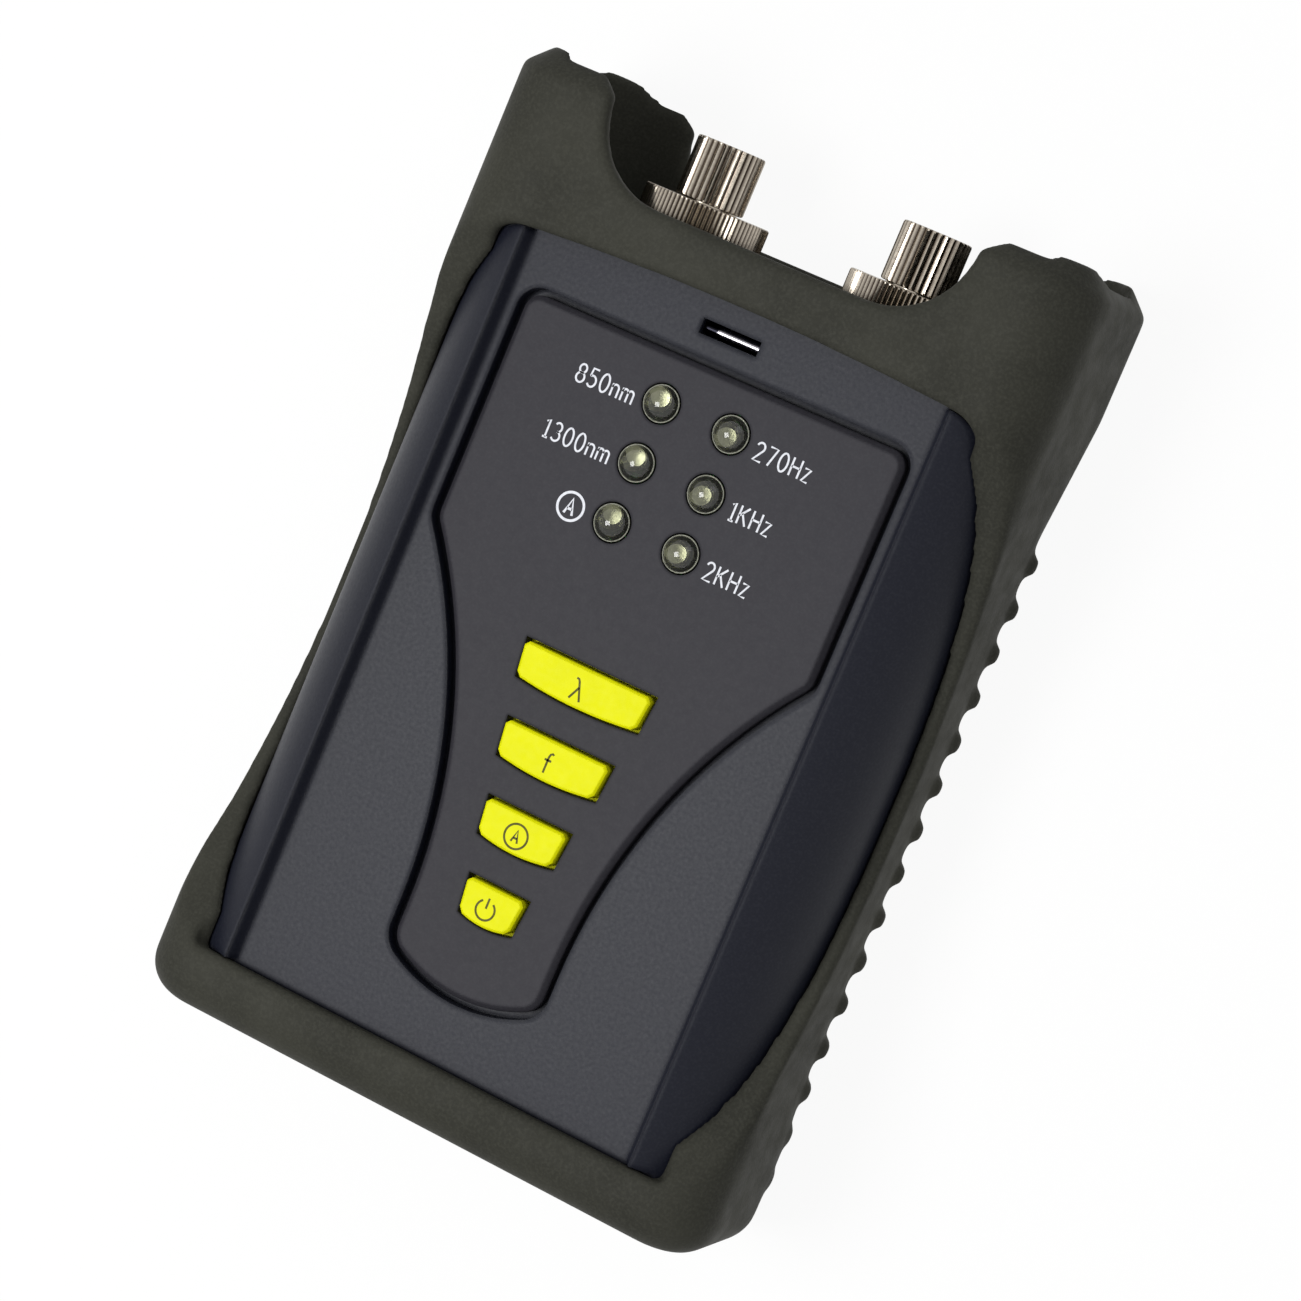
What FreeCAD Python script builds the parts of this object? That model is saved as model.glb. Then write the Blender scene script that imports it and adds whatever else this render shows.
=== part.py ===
import FreeCAD, Part

import os
from math import pi

import Sketcher
from FreeCAD import Rotation, Vector

# Handheld optical light source, lying on its back: X across, Y along towards the ports, Z up.
# The origin is under the middle of the rubber boot. All sizes are millimetres.

SIZES = {
    # How far a cutting outline runs past the surface that it cuts
    "beyond": 1.0,
    # Rubber boot
    "boot_half_length": 66.35,
    "boot_half": 41.4,
    "bumper_swell": 0.8,
    "bumper_blend": 12.0,
    "bumper_length": 10.8,
    "boot_wall": 2.0,
    "boot_front_wall": 2.6,
    "boot_front_radius": 8.0,
    "boot_rear_radius": 12.0,
    "horn_rear_radius": 6.0,
    "horn_reach": 16.2,
    "horn_root": 1.15,
    "horn_blend": 16.0,
    "boot_tail_round": 5.0,
    "horn_bevel": 3.2,
    "boot_gap": 0.15,
    "band_width": 2.03,
    "notch_radius": 10.9,
    "horn_corner": 3.4,
    "window_rim": 7.4,
    "window_margin": 5.8,
    "window_past_bay": 6.0,
    "window_round": 4.0,
    "opening_side_lip": 4.2,
    "opening_tail_lip": 6.15,
    "opening_head_lip": 6.1,
    "opening_arch": 1.2,
    "opening_round": 5.0,
    "side_dip": 11.5,
    "rib_margin": 3.8,
    "rib_tail": 7.32,
    "rib_count": 15,
    "rib_half": 1.9,
    "rib_slope": 0.9,
    "rib_height": 1.2,
    "rib_root": 0.8,
    "rib_start": 12.0,
    "rib_sweep": 52.0,
    # Casing
    "side_wall": 2.0,
    "tail_wall": 2.55,
    "case_wall": 2.0,
    "panel_wall": 2.2,
    "shoulder_radius": 16.0,
    "case_rear_radius": 10.0,
    "rail_height": 2.0,
    "rail_width": 9.1,
    "rail_slope": 1.0,
    # Funnel-shaped keypad bezel and its seat
    "funnel_gap": 1.15,
    "funnel_head_gap": 12.45,
    "funnel_foot_gap": 13.95,
    "funnel_round": 3.2,
    "funnel_bend": 3.5,
    "neck_half": 11.8,
    "neck_radius": 74.0,
    "neck_height": 9.0,
    "foot_round": 4.0,
    "foot_radius": 20.8,
    "bezel_groove": 0.9,
    "bezel_thickness": 2.2,
    "bezel_bevel": 0.7,
    "seat_wall": 1.8,
    "seat_width": 2.4,
    "seat_rim": 1.2,
    # Strap slot
    "slot_margin": 8.85,
    "slot_length": 8.2,
    "slot_width": 1.95,
    "bar_radius": 0.65,
    "bar_length": 13.0,
    "bar_depth": 1.8,
    # Indicator lamps; the pitch is a share of the funnel's length
    "lamp_column": 5.0,
    "lamp_margin": 7.34,
    "lamp_pitch_share": 0.09195,
    "lamp_radius": 2.45,
    "lamp_height": 8.6,
    "lamp_rise": 1.5,
    "lamp_top_share": 0.62,
    "lamp_slope_share": 0.76,
    "lamp_hole_gap": 0.2,
    "lead_half": 0.25,
    "lead_spacing": 1.27,
    "lead_stub": 1.0,
    # Keys; their places along the funnel are shares of its length
    "key_first_share": 0.47139,
    "key_pitch_share": 0.11536,
    "key_side_share": 0.4554,
    "key_half": 9.27,
    "key_half_step": 1.68,
    "key_bow": 0.65,
    "key_taper": 0.55,
    "key_rise": 1.0,
    "key_gap": 0.35,
    "key_corner": 0.6,
    "key_edge": 0.3,
    "key_travel": 0.8,
    "key_flange": 0.9,
    "key_flange_thickness": 1.0,
    "key_stem_half": 1.4,
    "mat_half": 12.6,
    "mat_thickness": 1.2,
    "mat_margin": 4.0,
    "contact_half": 1.8,
    "contact_thickness": 0.1,
    # Circuit board, its posts and its parts
    "board_side_gap": 4.9,
    "board_tail_gap": 17.8,
    "board_head_gap": 13.55,
    "board_thickness": 1.6,
    "post_inset": 2.0,
    "post_margin": 5.0,
    "post_half": 1.5,
    "chip_half": 3.5,
    "chip_half_length": 7.0,
    "chip_height": 1.8,
    "capacitor_radius": 3.2,
    "capacitor_height": 8.0,
    "part_offset": 12.0,
    # Case screws
    "screw_inset": 8.4,
    "screw_tail_gap": 7.3,
    "boss_half": 3.3,
    "screw_radius": 1.25,
    "screw_head_radius": 2.6,
    "screw_head_height": 2.0,
    "screw_sink": 5.0,
    "screw_bite": 7.0,
    # Battery bay for two cells of size AA
    "cell_radius": 7.0,
    "cell_length": 50.5,
    "cell_play": 3.0,
    "cell_gap": 0.15,
    "cell_side_gap": 0.35,
    "cell_headroom": 0.1,
    "nub_radius": 2.75,
    "nub_height": 1.2,
    "bay_margin": 17.3,
    "bay_wall": 1.2,
    "bay_roof": 1.0,
    "lead_room": 1.2,
    "plate_thickness": 0.5,
    "plate_half": 6.0,
    "leaf_half": 2.5,
    "leaf_bend": 4.5,
    "leaf_thickness": 0.4,
    "door_side": 2.3,
    "door_margin": 2.0,
    "door_thickness": 1.2,
    "door_travel": 6.0,
    "door_core": 1.5,
    "tongue_half": 8.0,
    "tongue_root": 1.0,
    "tongue_reach": 2.5,
    "grip_half": 7.0,
    "grip_margin": 8.5,
    "grip_width": 1.0,
    "grip_pitch": 2.0,
    "grip_count": 4,
    "grip_depth": 0.5,
    # Optical ports, whose lengths are counted from the casing's head wall
    "port_share": 0.36087,
    "port_drop": 1.075,
    "barrel_radius": 6.5,
    "barrel_rear_radius": 5.6,
    "barrel_inside": 9.15,
    "barrel_out": 3.2,
    "port_flange_half": 7.8,
    "port_flange": 1.6,
    "saddle_half": 9.0,
    "saddle_thickness": 2.0,
    "emitter_half": 4.5,
    "emitter_length": 4.0,
    "pin_half": 0.23,
    "pin_circle": 1.27,
    "pin_length": 4.2,
    "port_board_side": 7.0,
    "port_board_gap": 2.0,
    "port_board_foot": 3.85,
    "ferrule_radius": 1.25,
    "ferrule_out": 6.35,
    "sleeve_wall": 0.48,
    "sleeve_gap": 0.25,
    "sleeve_sink": 0.75,
    "nose_radius": 3.9,
    "nose_out": 10.5,
    "nose_flange_radius": 6.2,
    "nose_flange": 0.8,
    "ring_radius": 8.5,
    "ring_gap": 0.4,
    "ring_width": 4.5,
    "cap_radius": 4.65,
    "cap_out": 13.0,
    "cap_top": 1.2,
    "cap_teeth": 32,
    "seal_thickness": 1.1,
    "knurl_depth": 0.25,
    # Clearances
    "fit": 0.05,
    "easy_fit": 0.1,
    "loose_fit": 0.15,
}

KEYS = ["key_wavelength", "key_frequency", "key_auto", "key_power"]
LAMPS = {
    -1: ["lamp_850", "lamp_1300", "lamp_auto"],
    1: ["lamp_270", "lamp_1k", "lamp_2k"],
}
SIDES = {-1: "left", 1: "right"}


class Size:
    """A number together with the sheet formula that gives it."""

    def __init__(self, value, text):
        self.value = value
        self.text = text

    def join(self, other, sign, value):
        return Size(value, f"({self.text} {sign} {formula(other)})")

    def __add__(self, other):
        return self.join(other, "+", self.value + number(other))

    def __sub__(self, other):
        return self.join(other, "-", self.value - number(other))

    def __mul__(self, other):
        return self.join(other, "*", self.value * number(other))

    def __truediv__(self, other):
        return self.join(other, "/", self.value / number(other))

    def __radd__(self, other):
        return Size(number(other), formula(other)) + self

    def __rsub__(self, other):
        return Size(number(other), formula(other)) - self

    def __rmul__(self, other):
        return Size(number(other), formula(other)) * self

    def __neg__(self):
        return Size(-self.value, f"(0 - {self.text})")

    def root(self):
        return Size(self.value**0.5, f"sqrt({self.text})")


def number(size):
    return size.value if isinstance(size, Size) else float(size)


def formula(size):
    return size.text if isinstance(size, Size) else repr(float(size))


def squared(size):
    return size * size


doc = FreeCAD.newDocument("optical_light_source")
sheet = doc.addObject("Spreadsheet::Sheet", "sizes")
for row, (alias, value) in enumerate(SIZES.items(), start=1):
    sheet.set(f"A{row}", alias)
    sheet.set(f"B{row}", str(value))
    sheet.setAlias(f"B{row}", alias)
doc.recompute()


class Sizes:
    def __getattr__(self, alias):
        return Size(float(SIZES[alias]), f"sizes.{alias}")


S = Sizes()


# Sketches and features


def new_body(label):
    body = doc.addObject("PartDesign::Body", label)
    body.Label = label
    return body


def new_sketch(body, role, **offset):
    """A sketch on one of the body's own origin planes, moved by x, y and z in the plane's axes."""
    sketch = body.newObject("Sketcher::SketchObject", f"{body.Label}_sketch")
    planes = [f for f in body.Origin.OriginFeatures if f.Role == role]
    sketch.AttachmentSupport = (planes[0], [""])
    sketch.MapMode = "FlatFace"
    for axis, size in offset.items():
        sketch.setExpression(f"AttachmentOffset.Base.{axis}", formula(size))
    return sketch


def level_sketch(body, z, x=0, y=0):
    """A sketch seen from above, at height z."""
    return new_sketch(body, "XY_Plane", x=x, y=y, z=z)


def cross_sketch(body, y, x=0):
    """A sketch across the case at y, with X to the right and Z up."""
    return new_sketch(body, "XZ_Plane", x=x, z=-1 * y)


def side_sketch(body, x):
    """A sketch along the case at x, with Y to the right and Z up."""
    return new_sketch(body, "YZ_Plane", z=x)


def arc_between(start, end, radius, turn):
    """The arc of under half a circle from start to end that turns left (1) or right (-1)."""
    chord = end - start
    rise = (radius**2 - (chord.Length / 2) ** 2) ** 0.5
    across = Vector(-chord.y, chord.x, 0).normalize() * turn
    centre = (start + end) * 0.5 + across * rise
    first, last = (start, end) if turn > 0 else (end, start)
    circle = Part.Circle(centre, Vector(0, 0, 1), radius)
    return Part.ArcOfCircle(circle, circle.parameter(first), circle.parameter(last))


def place_point(sketch, shape, end, x, y):
    """Ties one end of a sketch shape to its own x and y."""
    for kind, size in (("DistanceX", x), ("DistanceY", y)):
        index = sketch.addConstraint(Sketcher.Constraint(kind, shape, end, number(size)))
        sketch.setExpression(f"Constraints[{index}]", formula(size))


def draw(sketch, points):
    """A closed outline. A point is (x, y) at the end of a straight stretch, or
    (x, y, radius, turn) at the end of an arc that turns left (1) or right (-1)."""
    base = sketch.GeometryCount
    ends = []
    for previous, point in zip(points[-1:] + points[:-1], points):
        start = Vector(number(previous[0]), number(previous[1]), 0)
        end = Vector(number(point[0]), number(point[1]), 0)
        if len(point) == 2:
            sketch.addGeometry(Part.LineSegment(start, end), False)
            ends.append((1, 2))
        else:
            arc = arc_between(start, end, number(point[2]), point[3])
            sketch.addGeometry(arc, False)
            ends.append((1, 2) if point[3] > 0 else (2, 1))
    count = len(points)
    for i, point in enumerate(points):
        after = (i + 1) % count
        join = Sketcher.Constraint("Coincident", base + i, ends[i][1], base + after, ends[after][0])
        sketch.addConstraint(join)
        place_point(sketch, base + i, ends[i][1], point[0], point[1])
        if len(point) == 4:
            radius = Sketcher.Constraint("Radius", base + i, number(point[2]))
            index = sketch.addConstraint(radius)
            sketch.setExpression(f"Constraints[{index}]", formula(point[2]))


def draw_circle(sketch, x, y, radius):
    circle = Part.Circle(Vector(number(x), number(y), 0), Vector(0, 0, 1), number(radius))
    shape = sketch.addGeometry(circle, False)
    place_point(sketch, shape, 3, x, y)
    index = sketch.addConstraint(Sketcher.Constraint("Radius", shape, number(radius)))
    sketch.setExpression(f"Constraints[{index}]", formula(radius))


def rectangle(left, low, right, high):
    return [(left, low), (right, low), (right, high), (left, high)]


def rounded_rectangle(left, low, right, high, radius):
    return [
        (left + radius, low),
        (right - radius, low),
        (right, low + radius, radius, 1),
        (right, high - radius),
        (right - radius, high, radius, 1),
        (left + radius, high),
        (left, high - radius, radius, 1),
        (left, low + radius),
        (left + radius, low, radius, 1),
    ][1:]


def both_sides(half, top=(), bottom=()):
    """The outline whose right half is given from its low end to its high end."""
    left = [(-half[-1][0], half[-1][1], *top)]
    for lower, upper in reversed(list(zip(half, half[1:]))):
        left.append((-lower[0], lower[1], *upper[2:]))
    return [(*half[0][:2], *bottom)] + list(half[1:]) + left


def add_feature(body, kind, profile, **sizes):
    feature = body.newObject(f"PartDesign::{kind}", f"{body.Label}_{kind}")
    feature.Profile = profile
    for name, size in sizes.items():
        feature.setExpression(name, formula(size))
    return feature


def pad(body, profile, length, other_way=False):
    feature = add_feature(body, "Pad", profile, Length=length)
    feature.Reversed = other_way
    doc.recompute()


def pocket(body, profile, length, other_way=False):
    """A pocket, which must take something away."""
    doc.recompute()
    before = body.Shape.Volume
    feature = add_feature(body, "Pocket", profile, Length=length)
    feature.Reversed = other_way
    doc.recompute()
    if body.Shape.Volume > before - 0.001:
        raise ValueError(f"{feature.Label} cuts nothing")


def dress(body, kind, size, chosen):
    """A fillet or chamfer on the edges of the body that the test chooses."""
    doc.recompute()
    names = [f"Edge{i + 1}" for i, edge in enumerate(body.Shape.Edges) if chosen(edge)]
    tip = body.Tip
    feature = body.newObject(f"PartDesign::{kind}", f"{body.Label}_{kind}")
    feature.Base = (tip, names)
    feature.setExpression("Radius" if kind == "Fillet" else "Size", formula(size))
    doc.recompute()


def lies_at(axis, size):
    """A test for edges that lie in one plane across X, Y or Z."""
    level = number(size)

    def test(edge):
        box = edge.BoundBox
        low = getattr(box, f"{axis}Min")
        high = getattr(box, f"{axis}Max")
        return abs(low - level) < 0.01 and abs(high - level) < 0.01

    return test


def repeat(body, kind, features, **settings):
    pattern = body.newObject(f"PartDesign::{kind}", f"{body.Label}_{kind}")
    pattern.Originals = features
    for name, setting in settings.items():
        if isinstance(setting, Size):
            pattern.setExpression(name, formula(setting))
        else:
            setattr(pattern, name, setting)
    body.Tip = pattern
    doc.recompute()
    return pattern


def turned(label, side, profile):
    """A body of revolution about a port's axis, from (radius, y) points."""
    body = new_body(label)
    sketch = level_sketch(body, port_height, x=side * port_column)
    draw(sketch, profile)
    feature = add_feature(body, "Revolution", sketch)
    feature.ReferenceAxis = (sketch, ["V_Axis"])
    feature.Angle = 360
    doc.recompute()
    return body, sketch


def discs(body, z, height, radius, centres):
    """Round posts or holes at one height: pads them upwards from z."""
    sketch = level_sketch(body, z)
    for x, y in centres:
        draw_circle(sketch, x, y, radius)
    pad(body, sketch, height)


def holes(body, z, depth, radius, centres):
    """Round holes that go down from z."""
    sketch = level_sketch(body, z)
    for x, y in centres:
        draw_circle(sketch, x, y, radius)
    pocket(body, sketch, depth)


def block(body, z, height, outline):
    sketch = level_sketch(body, z)
    draw(sketch, outline)
    pad(body, sketch, height)


def cut(body, z, depth, outline):
    sketch = level_sketch(body, z)
    draw(sketch, outline)
    pocket(body, sketch, depth)


def axis_of(body, role):
    return [f for f in body.Origin.OriginFeatures if f.Role == role][0], [""]


def draw_squares(sketch, half, centres):
    for x, y in centres:
        draw(sketch, rectangle(x - half, y - half, x + half, y + half))


def squares(body, z, height, half, centres):
    """Square posts at one height: pads them upwards from z."""
    sketch = level_sketch(body, z)
    draw_squares(sketch, half, centres)
    pad(body, sketch, height)


def square_holes(body, z, depth, half, centres):
    """Square holes that go down from z."""
    sketch = level_sketch(body, z)
    draw_squares(sketch, half, centres)
    pocket(body, sketch, depth)


def four(column, low, high):
    return [(x, y) for x in (-column, column) for y in (low, high)]


# Places that several pieces share, worked out from the sizes

# Across
bumper_half = S.boot_half + S.bumper_swell
case_half = S.boot_half - S.side_wall
shoulder_x = case_half - S.shoulder_radius
opening_half = case_half - S.opening_side_lip
rail_top_half = case_half - S.rail_width
rail_foot_half = rail_top_half - S.rail_slope
funnel_half = rail_foot_half - S.funnel_gap
board_half = case_half - S.board_side_gap
cell_column = S.cell_radius + S.cell_gap
bay_half = cell_column + S.cell_radius + S.cell_side_gap
port_column = S.boot_half * S.port_share

# Up from the back
case_back = S.boot_wall + S.boot_gap
inside_back = case_back + S.case_wall
door_inside = case_back + S.door_thickness
door_top = door_inside + S.door_core
tongue_back = inside_back + S.easy_fit
cell_z = door_top + S.loose_fit + S.cell_radius
bay_top = cell_z + S.cell_radius + S.cell_headroom + S.bay_roof
board_back = bay_top + S.lead_room
board_top = board_back + S.board_thickness
panel = board_top + S.lamp_height - S.lamp_rise
ceiling = panel - S.panel_wall
boot_top = panel + S.boot_front_wall
rail_top = panel + S.rail_height
shoulder_z = rail_top - (squared(S.shoulder_radius) - squared(S.shoulder_radius - S.rail_width)).root()
bezel_back = panel - S.bezel_thickness
seat_back = bezel_back - S.seat_wall
port_height = (case_back + panel) / 2 - S.port_drop

# Along, from the tail to the head
case_tail = S.tail_wall - S.boot_half_length
case_head = S.boot_half_length - S.horn_reach
wall_inside = case_head - S.case_wall
port_seat = wall_inside - S.port_flange
horn_full = case_head - S.horn_root
horn_start = horn_full - S.horn_blend
bumper_full = case_tail + S.bumper_length
bumper_start = bumper_full + S.bumper_blend
band_edge = case_head + S.band_width
opening_tail = case_tail + S.opening_tail_lip
opening_head = case_head - S.opening_head_lip
dip_half = (opening_head - opening_tail) / 2
dip_middle = opening_tail + dip_half
dip_sag = S.side_dip + S.boot_front_wall
dip_radius = (squared(dip_half) + squared(dip_sag)) / (2 * dip_sag)
# Past this distance from its middle, the dip's rim is higher than the panel
lip_start = (squared(dip_radius) - squared(dip_radius - S.side_dip)).root()
bay_tail = case_tail + S.bay_margin
bay_head = bay_tail + S.cell_length + S.cell_play + S.plate_thickness * 2
board_tail = case_tail + S.board_tail_gap
board_head = case_head - S.board_head_gap
barrel_rear = case_head - S.barrel_inside
barrel_front = case_head + S.barrel_out
nose_front = case_head + S.nose_out
ring_rear = case_head + S.ring_gap
ring_front = ring_rear + S.ring_width
cap_rear = ring_front + S.loose_fit
cap_front = case_head + S.cap_out

# Funnel, lamps and keys
funnel_head = case_head - S.funnel_head_gap
funnel_foot = case_tail + S.funnel_foot_gap
funnel_length = funnel_head - funnel_foot
neck_level = funnel_foot + S.neck_height
slot_level = case_head - S.slot_margin
lamp_first = funnel_head - S.lamp_margin
lamp_pitch = funnel_length * S.lamp_pitch_share
key_first = funnel_head - funnel_length * S.key_first_share
key_pitch = funnel_length * S.key_pitch_share
key_side = key_pitch * S.key_side_share
key_rows = [key_first - row * key_pitch for row in range(len(KEYS))]
key_halves = [S.key_half - row * S.key_half_step for row in range(len(KEYS))]

# Places of what repeats
case_screws = four(
    case_half - S.screw_inset,
    case_tail + S.screw_tail_gap,
    port_seat - S.boss_half - S.fit,
)
board_posts = four(board_half - S.post_inset, board_tail + S.post_margin, board_head - S.post_margin)
lamp_rows = [lamp_first - row * lamp_pitch for row in range(len(LAMPS[1]))]
lamp_places = [(side * S.lamp_column, y) for side in SIDES for y in lamp_rows]
lead_places = [(x + way * S.lead_spacing, y) for x, y in lamp_places for way in (-1, 1)]
pin_places = [
    (side * port_column + x * S.pin_circle, port_height + z * S.pin_circle)
    for side in SIDES
    for x, z in ((-1, 1), (0, 0), (1, 1))
]


# Rubber boot


def boot_section(body, y, half, rear_radius):
    sketch = cross_sketch(body, y)
    half_outline = [
        (half - rear_radius, 0),
        (half, rear_radius, rear_radius, 1),
        (half, boot_top - S.boot_front_radius),
        (half - S.boot_front_radius, boot_top, S.boot_front_radius, 1),
    ]
    draw(sketch, both_sides(half_outline))
    return sketch


def boot_shell(body):
    """The outer form: a straight sleeve with squarer horns and fuller tail corners."""
    sections = [
        boot_section(body, S.boot_half_length, S.boot_half, S.horn_rear_radius),
        boot_section(body, horn_full, S.boot_half, S.horn_rear_radius),
        boot_section(body, horn_start, S.boot_half, S.boot_rear_radius),
        boot_section(body, bumper_start, S.boot_half, S.boot_rear_radius),
        boot_section(body, bumper_full, bumper_half, S.boot_rear_radius),
        boot_section(body, -S.boot_half_length, bumper_half, S.boot_rear_radius),
    ]
    loft = add_feature(body, "AdditiveLoft", sections[0])
    loft.Sections = sections[1:]
    loft.Ruled = True
    doc.recompute()
    dress(body, "Fillet", S.boot_tail_round, lies_at("Y", -S.boot_half_length))
    dress(body, "Chamfer", S.horn_bevel, lies_at("Y", S.boot_half_length))


def boot_cavity(body):
    """The space for the casing, which runs on between the horns."""
    gap = S.boot_gap
    arc = S.shoulder_radius + gap
    flat = shoulder_x + (squared(arc) - squared(panel + gap - shoulder_z)).root()
    rear = S.case_rear_radius + gap
    half = case_half + gap
    sketch = cross_sketch(body, case_tail - gap)
    half_outline = [
        (half - rear, S.boot_wall),
        (half, S.boot_wall + rear, rear, 1),
        (half, shoulder_z),
        (flat, panel + gap, arc, 1),
    ]
    draw(sketch, both_sides(half_outline))
    pocket(body, sketch, S.boot_half_length * 2)


def face_opening(body):
    half = opening_half
    head = opening_head
    arch_radius = (squared(half - S.opening_round) + squared(S.opening_arch)) / (2 * S.opening_arch)
    sketch = level_sketch(body, boot_top + S.beyond)
    half_outline = [
        (half, opening_tail),
        (half, head - S.opening_round),
        (half - S.opening_round, head, S.opening_round, 1),
    ]
    draw(sketch, both_sides(half_outline, top=(arch_radius, 1)))
    pocket(body, sketch, S.boot_front_wall + S.beyond)


def side_dips(body):
    """Both sides dip in a long arc, which ends where the face opening ends."""
    sketch = side_sketch(body, S.boot_half * 2)
    dip = [
        (opening_tail, boot_top + S.beyond),
        (opening_tail, boot_top),
        (dip_middle, boot_top - dip_sag, dip_radius, 1),
        (opening_head, boot_top, dip_radius, 1),
        (opening_head, boot_top + S.beyond),
    ]
    draw(sketch, dip)
    pocket(body, sketch, S.boot_half * 4)


def port_notches(body):
    """A round notch for each port leaves a horn on both sides and a band between the notches."""
    corner = port_column + S.notch_radius
    sketch = level_sketch(body, boot_top + S.beyond)
    half_outline = [
        (port_column, band_edge),
        (corner, band_edge + S.notch_radius, S.notch_radius, 1),
        (corner + S.horn_corner, S.boot_half_length),
        (corner + S.horn_corner, S.boot_half_length + S.beyond),
    ]
    draw(sketch, both_sides(half_outline))
    pocket(body, sketch, boot_top + S.beyond * 2)


def rear_window(body):
    """An opening in the back, through which the battery door slides."""
    half = S.boot_half - S.boot_rear_radius - S.window_rim
    low = case_tail + S.window_margin
    high = bay_head + S.window_past_bay
    sketch = level_sketch(body, S.boot_wall + S.beyond)
    draw(sketch, rounded_rectangle(-half, low, half, high, S.window_round))
    pocket(body, sketch, S.boot_wall + S.beyond * 2)


def grip_ribs(body):
    """Short ribs with sloping flanks that follow the rear corners, a row on each side."""
    base = S.boot_rear_radius - S.rib_root
    top = S.boot_rear_radius + S.rib_height
    crown_half = S.rib_half - S.rib_slope
    first = horn_start - S.rib_margin
    last = case_tail + S.rib_tail
    ribs = []
    for side in SIDES:
        sketch = level_sketch(body, S.boot_rear_radius, x=side * (S.boot_half - S.boot_rear_radius))
        start = Rotation(Vector(0, side, 0), number(S.rib_start))
        sketch.AttachmentOffset = FreeCAD.Placement(Vector(), start)
        sketch.setExpression("AttachmentOffset.Rotation.Angle", formula(S.rib_start))
        profile = [
            (side * base, first - S.rib_half),
            (side * top, first - crown_half),
            (side * top, first + crown_half),
            (side * base, first + S.rib_half),
        ]
        draw(sketch, profile)
        rib = add_feature(body, "Revolution", sketch, Angle=S.rib_sweep)
        rib.ReferenceAxis = (sketch, ["V_Axis"])
        rib.Reversed = side < 0
        doc.recompute()
        ribs.append(rib)
    repeat(body, "LinearPattern", ribs, Direction=axis_of(body, "Y_Axis"), Reversed=True,
           Length=first - last, Occurrences=S.rib_count)


def rubber_boot():
    body = new_body("rubber_boot")
    boot_shell(body)
    boot_cavity(body)
    face_opening(body)
    side_dips(body)
    port_notches(body)
    rear_window(body)
    grip_ribs(body)


# Casing


def funnel(grow=0.0):
    """The funnel outline, grown or shrunk by an equal margin all round."""
    half = funnel_half + grow
    head = funnel_head + grow
    round_ = S.funnel_round + grow
    bend = S.funnel_bend + grow
    neck = S.neck_radius - grow
    # The bend touches the straight side and the neck's arc
    centre_x = S.neck_half + S.neck_radius
    centre_y = neck_level
    reach = neck + bend
    across = centre_x - half + bend
    rise = (squared(reach) - squared(across)).root()
    bend_y = centre_y + rise
    touch_x = centre_x - across * neck / reach
    touch_y = centre_y + rise * neck / reach
    # The foot's corner touches the straight neck and the foot's arc
    foot_radius = S.foot_radius + grow
    foot_round = S.foot_round + grow
    foot_centre = funnel_foot + S.foot_radius
    inner = foot_radius - foot_round
    corner_x = S.neck_half + grow - foot_round
    drop = (squared(inner) - squared(corner_x)).root()
    foot_x = corner_x * foot_radius / inner
    foot_y = foot_centre - drop * foot_radius / inner
    half_outline = [
        (foot_x, foot_y),
        (S.neck_half + grow, foot_centre - drop, foot_round, 1),
        (S.neck_half + grow, neck_level),
        (touch_x, touch_y, neck, -1),
        (half, bend_y, bend, 1),
        (half, head - round_),
        (half - round_, head, round_, 1),
    ]
    return both_sides(half_outline, bottom=(foot_radius, 1))


def front_form(body):
    """The front half's outside, with a raised rail down each side of the panel."""
    sketch = cross_sketch(body, case_head)
    half_outline = [
        (case_half, port_height),
        (case_half, shoulder_z),
        (rail_top_half, rail_top, S.shoulder_radius, 1),
        (rail_foot_half, panel),
    ]
    draw(sketch, both_sides(half_outline))
    pad(body, sketch, case_head - case_tail)
    # Where the boot's lip lies on the casing, at both ends, the rails are cut away
    ends = level_sketch(body, boot_top)
    edge = case_half + S.beyond
    inner = opening_half - S.loose_fit
    arc_x = opening_half - S.opening_round
    head = opening_head - S.loose_fit
    head_outline = [
        (arc_x, head),
        (inner, opening_head - S.opening_round, S.opening_round - S.loose_fit, -1),
        (inner, dip_middle + lip_start),
        (edge, dip_middle + lip_start),
        (edge, case_head + S.beyond),
    ]
    tail_outline = [
        (edge, case_tail - S.beyond),
        (edge, dip_middle - lip_start),
        (inner, dip_middle - lip_start),
        (inner, opening_tail + S.loose_fit),
    ]
    draw(ends, both_sides(head_outline))
    draw(ends, both_sides(tail_outline))
    pocket(body, ends, S.boot_front_wall)


def front_hollow(body):
    inner = S.shoulder_radius - S.case_wall
    flat = shoulder_x + (squared(inner) - squared(ceiling - shoulder_z)).root()
    sketch = cross_sketch(body, wall_inside)
    half_outline = [
        (case_half - S.case_wall, port_height),
        (case_half - S.case_wall, shoulder_z),
        (flat, ceiling, inner, 1),
    ]
    draw(sketch, both_sides(half_outline))
    pocket(body, sketch, wall_inside - case_tail - S.case_wall, other_way=True)


def bezel_seat(body):
    """A ledge inside the panel carries the bezel and leaves a groove round it."""
    ledge = level_sketch(body, seat_back)
    draw(ledge, funnel(S.seat_rim))
    pad(body, ledge, S.seat_wall)
    recess = level_sketch(body, panel)
    draw(recess, funnel())
    pocket(body, recess, S.bezel_thickness)
    through = level_sketch(body, bezel_back)
    draw(through, funnel(-S.seat_width))
    pocket(body, through, S.seat_wall)


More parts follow.
